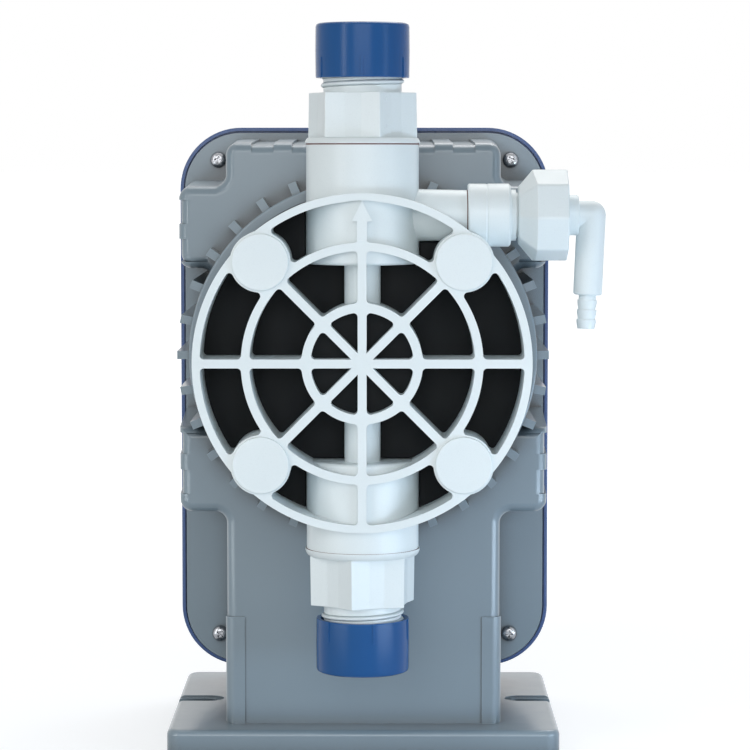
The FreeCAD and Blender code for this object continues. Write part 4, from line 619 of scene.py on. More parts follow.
class Paintbox:
    """Builds each finish once and gives it to the pieces."""

    def __init__(self) -> None:
        """Starts with nothing built."""
        self.built: dict[str, bpy.types.Material] = {}
        self.slots = {part["node"]: part["material_slot"]
                      for part in frame["record"]["subparts"]}

    def material(self, slot: str) -> bpy.types.Material:
        """The material of a slot, built when it is first asked for.

        Args:
            slot: Material slot of the record.

        Returns:
            The material.
        """
        if slot not in self.built:
            self.built[slot] = FINISHES[slot].build()
        return self.built[slot]

    def dress(self, piece: bpy.types.Object, slot: str) -> None:
        """Puts a slot's finish on a piece."""
        piece.data.materials.clear()
        piece.data.materials.append(self.material(slot))

    def dress_node(self, node: str) -> None:
        """Puts the record's finish on a CAD node."""
        self.dress(frame["nodes"][node], self.slots[node])
        log.info("dressed CAD node %s", node)


class Bench:
    """Makes finished pieces and hangs them on the frame."""

    def __init__(self, paints: Paintbox) -> None:
        """Keeps the finishes and the bodies of the CAD nodes."""
        self.paints = paints
        self.bodies = {node: body for body, nodes in frame["record"]["behaviour"]["bodies"].items()
                       for node in nodes}

    def turned(self, profile: Sequence[tuple[float, float]], origin: Point, heading: Heading,
               steps: int = ROUND_STEPS) -> bmesh.types.BMesh:
        """Spins a closed or open profile round an axis.

        Args:
            profile: (radius, height) pairs in millimetres, along the axis from origin.
            origin: Start of the axis in millimetres.
            heading: Direction of the axis.
            steps: Number of steps round.

        Returns:
            The closed shape.
        """
        shape = bmesh.new()
        points = [shape.verts.new((radius * MM, 0.0, height * MM)) for radius, height in profile]
        for first, second in zip(points, points[1:]):
            shape.edges.new((first, second))
        if profile[0][0] > 0 or profile[-1][0] > 0:
            shape.edges.new((points[-1], points[0]))
        bmesh.ops.spin(shape, geom=shape.verts[:] + shape.edges[:], cent=(0, 0, 0),
                       axis=(0, 0, 1), angle=math.tau, steps=steps, use_merge=True)
        bmesh.ops.remove_doubles(shape, verts=shape.verts[:], dist=MERGE_REACH)
        bmesh.ops.dissolve_degenerate(shape, dist=POLE_REACH, edges=shape.edges[:])
        bmesh.ops.recalc_face_normals(shape, faces=shape.faces[:])
        place = Matrix.Translation(Vector(origin) * MM) @ heading.turn()
        bmesh.ops.transform(shape, matrix=place, verts=shape.verts[:])
        return shape

    def rod(self, radius: float, start: Point, end: Point, steps: int = ROUND_STEPS,
            end_radius: float | None = None) -> bmesh.types.BMesh:
        """Cylinder or cone between two points.

        Args:
            radius: Radius at the start, in millimetres.
            start: First point in millimetres.
            end: Second point in millimetres.
            steps: Number of sides.
            end_radius: Radius at the end, if it differs.

        Returns:
            The closed shape.
        """
        shape = bmesh.new()
        run = (Vector(end) - Vector(start)) * MM
        turn = Vector((0, 0, 1)).rotation_difference(run).to_matrix().to_4x4()
        middle = Matrix.Translation((Vector(start) + Vector(end)) * MM / 2)
        bmesh.ops.create_cone(shape, cap_ends=True, segments=steps, radius1=radius * MM,
                              radius2=(radius if end_radius is None else end_radius) * MM,
                              depth=run.length, matrix=middle @ turn)
        return shape

    def block(self, low: Point, high: Point) -> bmesh.types.BMesh:
        """Box between two corners.

        Args:
            low: Lower corner in millimetres.
            high: Upper corner in millimetres.

        Returns:
            The closed shape.
        """
        shape = bmesh.new()
        size = (Vector(high) - Vector(low)) * MM
        middle = (Vector(high) + Vector(low)) * MM / 2
        bmesh.ops.create_cube(shape, size=1.0,
                              matrix=Matrix.Translation(middle) @ Matrix.Diagonal((*size, 1.0)))
        return shape

    def joined(self, shapes: Sequence[bmesh.types.BMesh]) -> bmesh.types.BMesh:
        """Puts several closed shapes into one mesh, without merging them.

        Args:
            shapes: The shapes, which are used up.

        Returns:
            The mesh that holds them all.
        """
        total = bmesh.new()
        for shape in shapes:
            mesh = bpy.data.meshes.new("part")
            shape.to_mesh(mesh)
            shape.free()
            total.from_mesh(mesh)
            bpy.data.meshes.remove(mesh)
        return total

    def cut(self, solid: bmesh.types.BMesh, tool: bmesh.types.BMesh,
            operation: str = "DIFFERENCE") -> bmesh.types.BMesh:
        """Exact boolean of two closed shapes.

        Args:
            solid: Shape that is cut or joined to.
            tool: The other shape; it may hold several closed shapes.
            operation: DIFFERENCE, UNION or INTERSECT.

        Returns:
            The resulting shape.
        """
        holder, cutter = self.holder(solid), self.holder(tool)
        step = holder.modifiers.new("cut", "BOOLEAN")
        step.operation = operation
        step.solver = "EXACT"
        step.use_self = True
        step.object = cutter
        result = bmesh.new()
        result.from_object(holder, bpy.context.evaluated_depsgraph_get())
        for item in (holder, cutter):
            mesh = item.data
            bpy.data.objects.remove(item)
            bpy.data.meshes.remove(mesh)
        bmesh.ops.remove_doubles(result, verts=result.verts[:], dist=MERGE_REACH)
        bmesh.ops.dissolve_degenerate(result, dist=MERGE_REACH, edges=result.edges[:])
        return result

    def holder(self, shape: bmesh.types.BMesh) -> bpy.types.Object:
        """Short-lived object that holds a shape for a modifier.

        Args:
            shape: The shape, which is used up.

        Returns:
            The object.
        """
        mesh = bpy.data.meshes.new("holder")
        shape.to_mesh(mesh)
        shape.free()
        item = bpy.data.objects.new("holder", mesh)
        bpy.context.scene.collection.objects.link(item)
        return item

    def finished(self, shape: bmesh.types.BMesh, name: str, body: str, slot: str,
                 replaces: Sequence[str] = (), bevel_mm: float = 0.4,
                 segments: int = 3, angle: float = 32.0) -> bpy.types.Object:
        """Makes a piece of a shape, softens its edges, dresses it and hangs it on a body.

        Args:
            shape: The piece's mesh, in place.
            name: The piece's name.
            body: CAD body it rides on.
            slot: Material slot of the record.
            replaces: CAD nodes that it stands for.
            bevel_mm: Width of the softened edges; 0 leaves them sharp.
            segments: Segments of each softened edge.
            angle: Smallest angle between faces that is softened, in degrees.

        Returns:
            The piece.
        """
        for face in shape.faces:
            face.smooth = self.curved(face, min(SMOOTH_ANGLE, angle))
        mesh = bpy.data.meshes.new(name)
        shape.to_mesh(mesh)
        shape.free()
        piece = bpy.data.objects.new(name, mesh)
        bpy.context.scene.collection.objects.link(piece)
        if bevel_mm > 0:
            bevel = piece.modifiers.new("soft_edges", "BEVEL")
            bevel.width = bevel_mm * MM
            bevel.segments = segments
            bevel.limit_method = "ANGLE"
            bevel.angle_limit = math.radians(angle)
            bevel.use_clamp_overlap = True
            bevel.harden_normals = False
        shading = piece.modifiers.new("even_shading", "WEIGHTED_NORMAL")
        shading.keep_sharp = True
        shading.weight = 90
        self.paints.dress(piece, slot)
        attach(piece, body)
        if replaces:
            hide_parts(*replaces)
        log.info("built %s on %s", name, body)
        return piece

    def curved(self, face: bmesh.types.BMFace, limit: float) -> bool:
        """Whether a face belongs to a rounded surface, by the slight angles to its neighbours.

        Args:
            face: The face.
            limit: Largest angle in degrees that counts as slight.

        Returns:
            True for a face of a rounded surface.
        """
        for edge in face.edges:
            if FLAT_ANGLE < edge.calc_face_angle(0.0) < math.radians(limit):
                return True
        return False

    def merged(self, node: str) -> bmesh.types.BMesh:
        """Shape of a CAD node with its flat faces merged.

        Args:
            node: The CAD node.

        Returns:
            The copied shape.
        """
        shape = bmesh.new()
        shape.from_mesh(frame["nodes"][node].data)
        bmesh.ops.remove_doubles(shape, verts=shape.verts[:], dist=CAD_MERGE_REACH)
        bmesh.ops.dissolve_degenerate(shape, dist=MERGE_REACH, edges=shape.edges[:])
        bmesh.ops.dissolve_limit(shape, angle_limit=math.radians(CAD_FLAT_ANGLE),
                                 verts=shape.verts[:], edges=shape.edges[:])
        return shape

    def extruded(self, shape: bmesh.types.BMesh, ring: Sequence[bmesh.types.BMVert],
                 run: Point) -> list[bmesh.types.BMVert]:
        """Fills a ring of vertices with a face and extrudes it.

        Args:
            shape: Shape that holds the vertices.
            ring: The vertices in order.
            run: Way of the extrusion in metres.

        Returns:
            The vertices of the far face.
        """
        made = bmesh.ops.extrude_face_region(shape, geom=[shape.faces.new(ring)])
        far = [item for item in made["geom"] if isinstance(item, bmesh.types.BMVert)]
        bmesh.ops.translate(shape, vec=run, verts=far)
        return far

    def prism(self, outline: Sequence[tuple[float, float]], y0: float,
              y1: float) -> bmesh.types.BMesh:
        """Straight prism along y over an outline.

        Args:
            outline: (x, z) corners in millimetres, in order.
            y0: Front of the prism.
            y1: Rear of the prism.

        Returns:
            The closed shape.
        """
        shape = bmesh.new()
        ring = [shape.verts.new((x * MM, y0 * MM, z * MM)) for x, z in outline]
        self.extruded(shape, ring, (0, (y1 - y0) * MM, 0))
        bmesh.ops.recalc_face_normals(shape, faces=shape.faces[:])
        return shape

    def softened(self, node: str, bevel_mm: float = 0.5, segments: int = 3,
                 angle: float = 32.0) -> bpy.types.Object:
        """Copy of a CAD node with merged faces and softened edges, which stands for it.

        Args:
            node: The CAD node.
            bevel_mm: Width of the softened edges.
            segments: Segments of each softened edge.
            angle: Smallest angle that is softened, in degrees.

        Returns:
            The piece.
        """
        return self.finished(self.merged(node), node + "_soft", self.bodies[node],
                             self.paints.slots[node], (node,), bevel_mm, segments, angle)


@dataclass
class HeadWheel:
    """Spoked wheel with spokes that run straight into the hub, and a free arrow head."""

    bench: Bench
    spokes: int = 8
    spoke_half: tuple[float, float] = (1.72, 1.79)
    wedge_length: float = 16.5
    band_radius: float = 63.9
    arrow_half: float = 4.1
    arrow_z: tuple[float, float] = (56.0, 63.9)
    arrow_reach: float = 7.5
    arrow_foot: float = 0.5
    arc_bulge: float = 0.3
    arc_steps: int = 6
    tip_half: float = 0.3
    front_y: float = -126.0
    rear_y: float = -96.5
    backing_radius: float = 20.6
    backing_y: tuple[float, float] = (-115.5, -113.4)

    def wedge(self, heading: float) -> bmesh.types.BMesh:
        """Tool that clears the corner between two spokes, up to the hub.

        Args:
            heading: Direction of the wedge's middle in degrees.

        Returns:
            The closed tool.
        """
        near, far = self.spoke_half
        half = math.pi / self.spokes
        apex = near / math.sin(half)
        reach = math.hypot(self.wedge_length, far)
        spread = half - math.atan2(far, self.wedge_length)
        middle = math.radians(heading)
        outline = [(radius * math.cos(middle + turn), AXIS_Z + radius * math.sin(middle + turn))
                   for radius, turn in ((apex, 0.0), (reach, -spread), (reach, spread))]
        return self.bench.prism(outline, self.front_y, self.rear_y)

    def beside_arrow(self, side: int) -> bmesh.types.BMesh:
        """Tool that clears the web beside the arrow head.

        Args:
            side: -1 for the left of the head, 1 for its right.

        Returns:
            The closed tool.
        """
        base, tip = self.arrow_z
        slope = (tip - base) / self.arrow_half
        outline = [(self.tip_half, tip - slope * self.tip_half)]
        for step in range(self.arc_steps + 1):
            x = self.tip_half + (self.arrow_reach - self.tip_half) * step / self.arc_steps
            bulge = self.arc_bulge * (1 - (x / (self.arrow_reach - 1)) ** 2)
            outline.append((x, math.sqrt(self.band_radius ** 2 - x ** 2) + bulge))
        foot = base - self.arrow_foot
        outline += [(self.arrow_reach, foot), (self.arrow_half + self.arrow_foot / slope, foot)]
        return self.bench.prism([(side * x, AXIS_Z + z) for x, z in outline],
                                self.front_y, self.rear_y)

    def build(self) -> None:
        """Builds the wheel and the dark disc behind its hub."""
        bench = self.bench
        pitch = 360.0 / self.spokes
        tools = [self.wedge((index + 0.5) * pitch) for index in range(self.spokes)]
        tools += [self.beside_arrow(side) for side in (-1, 1)]
        wheel = bench.cut(bench.merged("head_wheel"), bench.joined(tools))
        bench.finished(wheel, "head_wheel_soft", bench.bodies["head_wheel"], "head_plastic",
                       ("head_wheel",), 0.5, 3)
        near, far = self.backing_y
        disc = bench.turned([(0.0, 0.0), (self.backing_radius, 0.0),
                             (self.backing_radius, far - near), (0.0, far - near)],
                            (0, far, AXIS_Z), Heading.FRONT, MID_STEPS)
        bench.finished(disc, "hub_backing", bench.bodies["head_wheel"], "plate_black", (), 0.0)


@dataclass
class BoltCaps:
    """Press-in discs over the four head bolts, with a fine lip and a shallow dish."""

    bench: Bench
    radius: float = 11.25
    proud: float = 1.5
    plug_radius: float = 7.35
    plug_length: float = 2.6
    plug_wall: float = 1.85
    plug_chamfer: float = 0.4
    dish: tuple[float, float] = (0.12, 0.10)
    place: float = 40.0
    corners: dict[str, tuple[int, int]] = field(default_factory=lambda: {
        "upper_left": (-1, 1), "upper_right": (1, 1),
        "lower_left": (-1, -1), "lower_right": (1, -1)})

    def build(self) -> None:
        """Builds the four caps."""
        middle, side_dish = self.dish
        radius, proud, plug = self.radius, self.proud, self.plug_radius
        inner = plug - self.plug_wall
        profile = [(0.0, proud - middle), (radius - 1.6, proud - side_dish),
                   (radius - 1.1, proud), (radius - 0.45, proud),
                   (radius - 0.12, proud - 0.14), (radius, proud - 0.5),
                   (radius, 0.0), (plug, 0.0),
                   (plug, -self.plug_length + self.plug_chamfer),
                   (plug - self.plug_chamfer, -self.plug_length),
                   (inner, -self.plug_length), (inner, 0.0), (0.0, 0.0)]
        for corner, (side, level) in self.corners.items():
            node = "bolt_cap_" + corner
            origin = (side * self.place, WHEEL_FRONT_Y, AXIS_Z + level * self.place)
            shape = self.bench.turned(profile, origin, Heading.FRONT, MID_STEPS)
            self.bench.finished(shape, node + "_disc", node, "head_plastic", (node,), 0.12, 2)


@dataclass
class ValvePort:
    """Valve body with collar, ridged wrench section and threaded port, under its cap."""

    bench: Bench
    side: str
    face_z: float
    up: int
    wrench: float
    lobe_turn: float
    rib_turn: float
    spigot: float
    lip: float = 0.0
    marks: tuple[tuple[float, float], ...] = ()
    mark_radius: float = 1.25
    mark_width: float = 0.3
    mark_proud: float = 0.12
    rib_width: float = 0.8
    rib_proud: float = 0.3
    rib_length: float = 8.0
    ribs: int = 6
    collar_radius: float = 22.9
    collar_flare: float = 0.15
    collar: float = 2.3
    skirt_wall: float = 0.13
    spigot_radius: float = 15.85
    gasket: float = 0.5
    lobe_radius: float = 22.3
    valley_radius: float = 18.2
    valley_angle: float = 20.0
    lobes: int = 6
    wrench_taper: float = 0.985
    port: float = 24.8
    root_radius: float = 15.6
    thread_radius: float = 16.6
    bore_radius: float = 10.0
    pitch: float = 3.4
    thread_steps: int = 72
    thread_inset: float = 2.4
    thread_plain: float = 4.6
    thread_foot: float = 0.36
    thread_crest: float = 0.42
    thread_flat: float = 0.2
    thread_start: float = 2.2
    cap_radius: float = 18.8
    cap_length: float = 21.6
    cap_standoff: float = 5.9
    cap_wall: float = 1.9
    cap_end: float = 2.4

    @property
    def heading(self) -> Heading:
        """Direction from the chamber outwards."""
        return Heading.UP if self.up > 0 else Heading.DOWN

    def level(self, height: float) -> float:
        """World height in millimetres of a height over the chamber's face."""
        return self.face_z + self.up * height

    def body(self) -> None:
        """Collar, wrench section, port and spigot."""
        bench = self.bench
        wrench0 = self.gasket + self.collar
        wrench1 = wrench0 + self.wrench
        end = wrench1 + self.port
        profile = [
            (self.bore_radius, -self.spigot), (self.spigot_radius, -self.spigot),
            (self.spigot_radius, self.gasket),
            *self.skirt(), (self.collar_radius + self.collar_flare, 0.9),
            (self.collar_radius - 0.35, wrench0 - 0.7), (self.collar_radius - 1.0, wrench0),
            (self.root_radius, wrench0), (self.root_radius, end - 0.8),
            (self.root_radius - 0.8, end), (self.bore_radius + 0.6, end),
            (self.bore_radius, end - 0.6),
        ]
        base = bench.turned(profile, (0, CHAMBER_Y, self.face_z), self.heading)
        bench.finished(base, self.side + "_valve_core", "pump_body", "head_plastic",
                       (self.side + "_valve_body",), 0.3, 3)
        self.ridges(wrench0, wrench1)
        self.thread(wrench1, end)
        if self.marks:
            self.mould_marks(wrench0)

    def skirt(self) -> list[tuple[float, float]]:
        """Profile of the collar's underside, with a thin skirt round the gasket if it has one.

        Returns:
            (radius, height) pairs in millimetres.
        """
        outer, level = self.collar_radius + self.collar_flare, self.gasket
        if self.lip == 0:
            return [(outer, level)]
        inner = outer - self.skirt_wall
        return [(inner, level), (inner, level - self.lip), (outer, level - self.lip)]

    def mould_marks(self, start: float) -> None:
        """Small raised rings that the mould leaves on the wrench section.

        Args:
            start: Height of the wrench section's foot over the chamber's face.
        """
        radius = self.mark_radius
        inner, foot = radius - self.mark_width, -self.mark_width
        rings = []
        for ridge, height in self.marks:
            first, second = math.radians(ridge), math.radians(ridge + self.valley_angle)
            corner = Vector((math.cos(first), math.sin(first), 0)) * self.lobe_radius
            valley = Vector((math.cos(second), math.sin(second), 0)) * self.valley_radius
            shrink = 1 - (1 - self.wrench_taper) * height / self.wrench
            middle = (corner + valley) / 2 * shrink
            run = valley - corner
            normal = Vector((run.y, -run.x, 0)).normalized()
            ring = self.bench.turned([(inner, foot), (radius, foot), (radius, self.mark_proud),
                                      (inner, self.mark_proud)], (0, 0, 0), Heading.UP,
                                     TINY_STEPS)
            place = Vector((middle.x, CHAMBER_Y + middle.y, self.level(start + height))) * MM
            turn = Vector((0, 0, 1)).rotation_difference(normal).to_matrix().to_4x4()
            bmesh.ops.transform(ring, matrix=Matrix.Translation(place) @ turn,
                                verts=ring.verts[:])
            rings.append(ring)
        self.bench.finished(self.bench.joined(rings), self.side + "_mould_marks", "pump_body",
                            "head_plastic", (), 0.04, 2)

    def ridges(self, start: float, end: float) -> None:
        """Ridged wrench section, a little narrower towards the port.

        Args:
            start: Height of its foot over the chamber's face.
            end: Height of its top.
        """
        shape = bmesh.new()
        ring = []
        share = 360.0 / self.lobes
        for index in range(self.lobes):
            ridge = self.lobe_turn - 90 + index * share
            for radius, angle in ((self.lobe_radius, ridge),
                                  (self.valley_radius, ridge + self.valley_angle),
                                  (self.valley_radius, ridge + share - self.valley_angle)):
                heading = math.radians(angle)
                ring.append(shape.verts.new((radius * math.cos(heading) * MM,
                                             radius * math.sin(heading) * MM, 0.0)))
        top = self.bench.extruded(shape, ring, (0, 0, (end - start) * MM))
        bmesh.ops.scale(shape, vec=(self.wrench_taper, self.wrench_taper, 1.0), verts=top)
        bmesh.ops.recalc_face_normals(shape, faces=shape.faces[:])
        low, high = sorted((self.level(start), self.level(end)))
        flip = Matrix.Identity(4) if self.up > 0 else Matrix.Diagonal((1, 1, -1, 1))
        place = Matrix.Translation(Vector((0, CHAMBER_Y, self.level(start))) * MM)
        bmesh.ops.transform(shape, matrix=place @ flip, verts=shape.verts[:])
        bmesh.ops.recalc_face_normals(shape, faces=shape.faces[:])
        bore = self.bench.rod(self.root_radius - 0.3, (0, CHAMBER_Y, low - 1),
                              (0, CHAMBER_Y, high + 1), MID_STEPS)
        shape = self.bench.cut(shape, bore)
        self.bench.finished(shape, self.side + "_wrench_ridges", "pump_body", "head_plastic",
                            (), 0.25, 2, 8.0)

    def thread(self, start: float, end: float) -> None:
        """Helical thread ridge on the port.

        Args:
            start: Height of the port's foot over the chamber's face.
            end: Height of its mouth.
        """
        shape = bmesh.new()
        root, crest = self.root_radius - 0.15, self.thread_radius
        half, shoulder, flat = self.pitch * self.thread_foot, self.thread_crest, self.thread_flat
        ridge = ((root, -half), (crest - 0.12, -shoulder), (crest, -flat), (crest, flat),
                 (crest - 0.12, shoulder), (root, half))
        points = [shape.verts.new((radius * MM, 0.0, height * MM)) for radius, height in ridge]
        face = shape.faces.new(points)
        turns = (end - start - self.thread_plain) / self.pitch
        bmesh.ops.spin(shape, geom=[face], cent=(0, 0, 0), axis=(0, 0, 1),
                       dvec=(0, 0, self.pitch * MM / self.thread_steps),
                       angle=turns * math.tau, steps=int(turns * self.thread_steps),
                       use_merge=False)
        bmesh.ops.recalc_face_normals(shape, faces=shape.faces[:])
        inset = self.thread_inset
        low = self.level(start + inset) if self.up > 0 else self.level(end - inset)
        place = Matrix.Translation(Vector((0, CHAMBER_Y, low)) * MM)
        bmesh.ops.transform(shape, matrix=place @ Matrix.Rotation(self.thread_start, 4, "Z"),
                            verts=shape.verts[:])
        self.bench.finished(shape, self.side + "_port_thread", "pump_body", "head_plastic",
                            (), 0.0)

    def cap(self) -> None:
        """Transport cap with fine ribs at its mouth and a rounded closed end."""
        bench = self.bench
        mouth = self.gasket + self.collar + self.wrench + self.cap_standoff
        radius, length = self.cap_radius, self.cap_length
        inner = radius - self.cap_wall
        profile = [(inner, 0.0), (radius - 0.25, 0.0), (radius - 0.12, 0.5), (radius, length * 0.5),
                   (radius - 0.1, length - 1.5), (radius - 0.4, length - 0.5),
                   (radius - 1.3, length), (radius - 6.0, length - 0.02),
                   (0.0, length - 0.02), (0.0, length - self.cap_end),
                   (inner, length - self.cap_end)]
        cap = bench.turned(profile, (0, CHAMBER_Y, self.level(mouth)), self.heading, CAP_STEPS)
        low, high = sorted((self.level(mouth + 0.15), self.level(mouth + self.rib_length)))
        half = self.rib_width / 2
        place = Matrix.Translation((0, CHAMBER_Y * MM, 0))
        for index in range(self.ribs):
            rib = bench.block((-half, -radius - self.rib_proud, low), (half, -radius + 0.6, high))
            heading = self.rib_turn + index * 360.0 / self.ribs
            turn = Matrix.Rotation(math.radians(heading), 4, "Z")
            bmesh.ops.transform(rib, matrix=place @ turn, verts=rib.verts[:])
            cap = bench.cut(cap, rib, "UNION")
        node = self.side + "_cap"
        bench.finished(cap, node + "_shell", node, "cap_blue", (node,), 0.22, 3, 28.0)

    def build(self) -> None:
        """Builds the valve body and its cap."""
        self.body()
        self.cap()


@dataclass
class AirVent:
    """Vent on the upper chamber: sleeve, eight-sided nut and elbow with a hose tail."""

    bench: Bench
    branch_end: float = 41.6
    sleeve_radius: float = 12.6
    sleeve_end: float = 59.1
    collar_radius: float = 10.2
    collar_end: float = 61.2
    neck_radius: float = 9.0
    neck_end: float = 72.0
    neck_bore: float = 5.5
    neck_bore_depth: float = 8.0
    needle_bore: float = 3.65
    inlet_bore: float = 2.0
    inlet_length: float = 4.6
    groove_depth: float = 0.18
    groove_width: float = 0.9
    groove_place: float = 0.42
    nut_start: float = 62.0
    nut_cone: float = 7.3
    nut_length: float = 19.9
    nut_radius: float = 18.4
    nut_nose: float = 11.6
    nut_turn: float = 3.0
    nut_bore: float = 9.05
    nut_mouth: float = 5.05
    nut_sides: int = 8
    elbow_collar: float = 8.1
    elbow_radius: float = 5.8
    elbow_x: float = 91.5
    elbow_lean: float = 2.5
    elbow_leg: float = 31.9
    elbow_plug: float = 5.0
    elbow_inset: float = 3.0
    elbow_bore: float = 2.2
    barbs: int = 3
    barb_radius: float = 3.5
    ridge_radius: float = 3.95
    barb_length: float = 13.6

    def sleeve(self) -> None:
        """Sleeve with its collar and neck, and a fine parting groove."""
        start = self.branch_end + 0.4
        end = self.sleeve_end - start
        radius = self.sleeve_radius
        groove = end * self.groove_place
        floor = radius - self.groove_depth
        mouth = self.neck_end - start
        step = mouth - self.neck_bore_depth
        profile = [
            (self.needle_bore, self.inlet_length), (self.inlet_bore, self.inlet_length),
            (self.inlet_bore, 0.0), (radius - 0.5, 0.0), (radius, 0.5),
            (radius, groove), (floor, groove + 0.2), (floor, groove + 0.7),
            (radius, groove + self.groove_width), (radius, end - 0.8),
            (radius - 0.8, end), (self.collar_radius, end),
            (self.collar_radius, self.collar_end - start),
            (self.neck_radius, self.collar_end - start), (self.neck_radius, mouth),
            (self.neck_bore, mouth), (self.neck_bore, step), (self.needle_bore, step)]
        shape = self.bench.turned(profile, (start, CHAMBER_Y, VENT_Z), Heading.RIGHT, MID_STEPS)
        self.bench.finished(shape, "vent_sleeve_turned", "pump_body", "head_plastic",
                            ("vent_sleeve",), 0.25, 3)

    def nut(self) -> None:
        """Eight-sided nut with a coned nose."""
        bench = self.bench
        shoulder = self.nut_start + self.nut_cone
        end = self.nut_start + self.nut_length
        nose = bench.rod(self.nut_nose, (self.nut_start, 0, 0), (shoulder, 0, 0),
                         self.nut_sides, self.nut_radius)
        grip = bench.rod(self.nut_radius, (shoulder, 0, 0), (end, 0, 0), self.nut_sides)
        nut = bench.cut(nose, grip, "UNION")
        bmesh.ops.dissolve_limit(nut, angle_limit=math.radians(1), verts=nut.verts[:],
                                 edges=nut.edges[:])
        turn = Matrix.Rotation(math.radians(self.nut_turn), 4, "X")
        bmesh.ops.transform(nut, matrix=Matrix.Translation((0, CHAMBER_Y * MM, VENT_Z * MM)) @ turn,
                            verts=nut.verts[:])
        for radius, x0, x1 in ((self.nut_bore, self.nut_start - 1, self.neck_end + 1.5),
                               (self.nut_mouth, self.neck_end, end + 1)):
            nut = bench.cut(nut, bench.rod(radius, (x0, CHAMBER_Y, VENT_Z),
                                           (x1, CHAMBER_Y, VENT_Z), SMALL_STEPS))
        bench.finished(nut, "vent_nut_faceted", "vent_knob", "head_plastic", ("vent_nut",),
                       0.8, 4, 18.0)

    def elbow(self) -> None:
        """Outlet elbow: collar, bend and ribbed tail round one bore."""
        bench = self.bench
        start = self.neck_end + self.elbow_inset
        face = self.nut_start + self.nut_length - start
        lean = math.radians(self.elbow_lean)
        down = Vector((-math.sin(lean), 0.0, -math.cos(lean)))
        corner = Vector((self.elbow_x, CHAMBER_Y, VENT_Z))
        foot = corner + down * self.elbow_leg
        stem = [(0.0, 0.0), (self.elbow_plug, 0.0), (self.elbow_plug, face + 0.05),
                (self.elbow_collar - 0.3, face + 0.05), (self.elbow_collar, face + 0.4),
                (self.elbow_collar, face + 3.9), (self.elbow_collar - 0.5, face + 4.4),
                (self.elbow_radius, face + 4.4),
                (self.elbow_radius, self.elbow_x - start), (0.0, self.elbow_x - start)]
        arm = bench.turned(stem, (start, CHAMBER_Y, VENT_Z), Heading.RIGHT, SMALL_STEPS)
        ball = bmesh.new()
        bmesh.ops.create_uvsphere(ball, u_segments=SMALL_STEPS, v_segments=TINY_STEPS,
                                  radius=self.elbow_radius * MM,
                                  matrix=Matrix.Translation(corner * MM))
        arm = bench.cut(arm, ball, "UNION")
        ridge = self.barb_length / 3.5
        tail = [(0.0, 0.0), (self.elbow_radius, 0.0), (self.elbow_radius, self.elbow_leg - 0.6),
                (self.elbow_radius - 0.6, self.elbow_leg), (self.barb_radius, self.elbow_leg)]
        for index in range(self.barbs):
            base = self.elbow_leg + ridge * (index + 0.5)
            tail += [(self.barb_radius, base), (self.ridge_radius, base + 0.05),
                     (self.ridge_radius, base + ridge * 0.35), (self.barb_radius, base + ridge * 0.9)]
        tail.append((self.barb_radius, self.elbow_leg + self.barb_length))
        tail.append((0.0, self.elbow_leg + self.barb_length))
        leg = bench.turned(tail, (0, 0, 0), Heading.DOWN, SMALL_STEPS)
        place = Matrix.Translation(corner * MM) @ Matrix.Rotation(lean, 4, "Y")
        bmesh.ops.transform(leg, matrix=place, verts=leg.verts[:])
        elbow = bench.cut(arm, leg, "UNION")
        tip = foot + down * (self.barb_length + 1)
        middle, inlet = tuple(corner), (start - 1, CHAMBER_Y, VENT_Z)
        for near, far in ((middle, tuple(tip)), (inlet, middle)):
            elbow = bench.cut(elbow, bench.rod(self.elbow_bore, near, far, BORE_STEPS))
        bench.finished(elbow, "vent_elbow_moulded", "vent_elbow", "head_plastic",
                       ("vent_elbow",), 0.25, 3, 35.0)

    def build(self) -> None:
        """Builds the vent's visible pieces."""
        self.sleeve()
        self.nut()
        self.elbow()


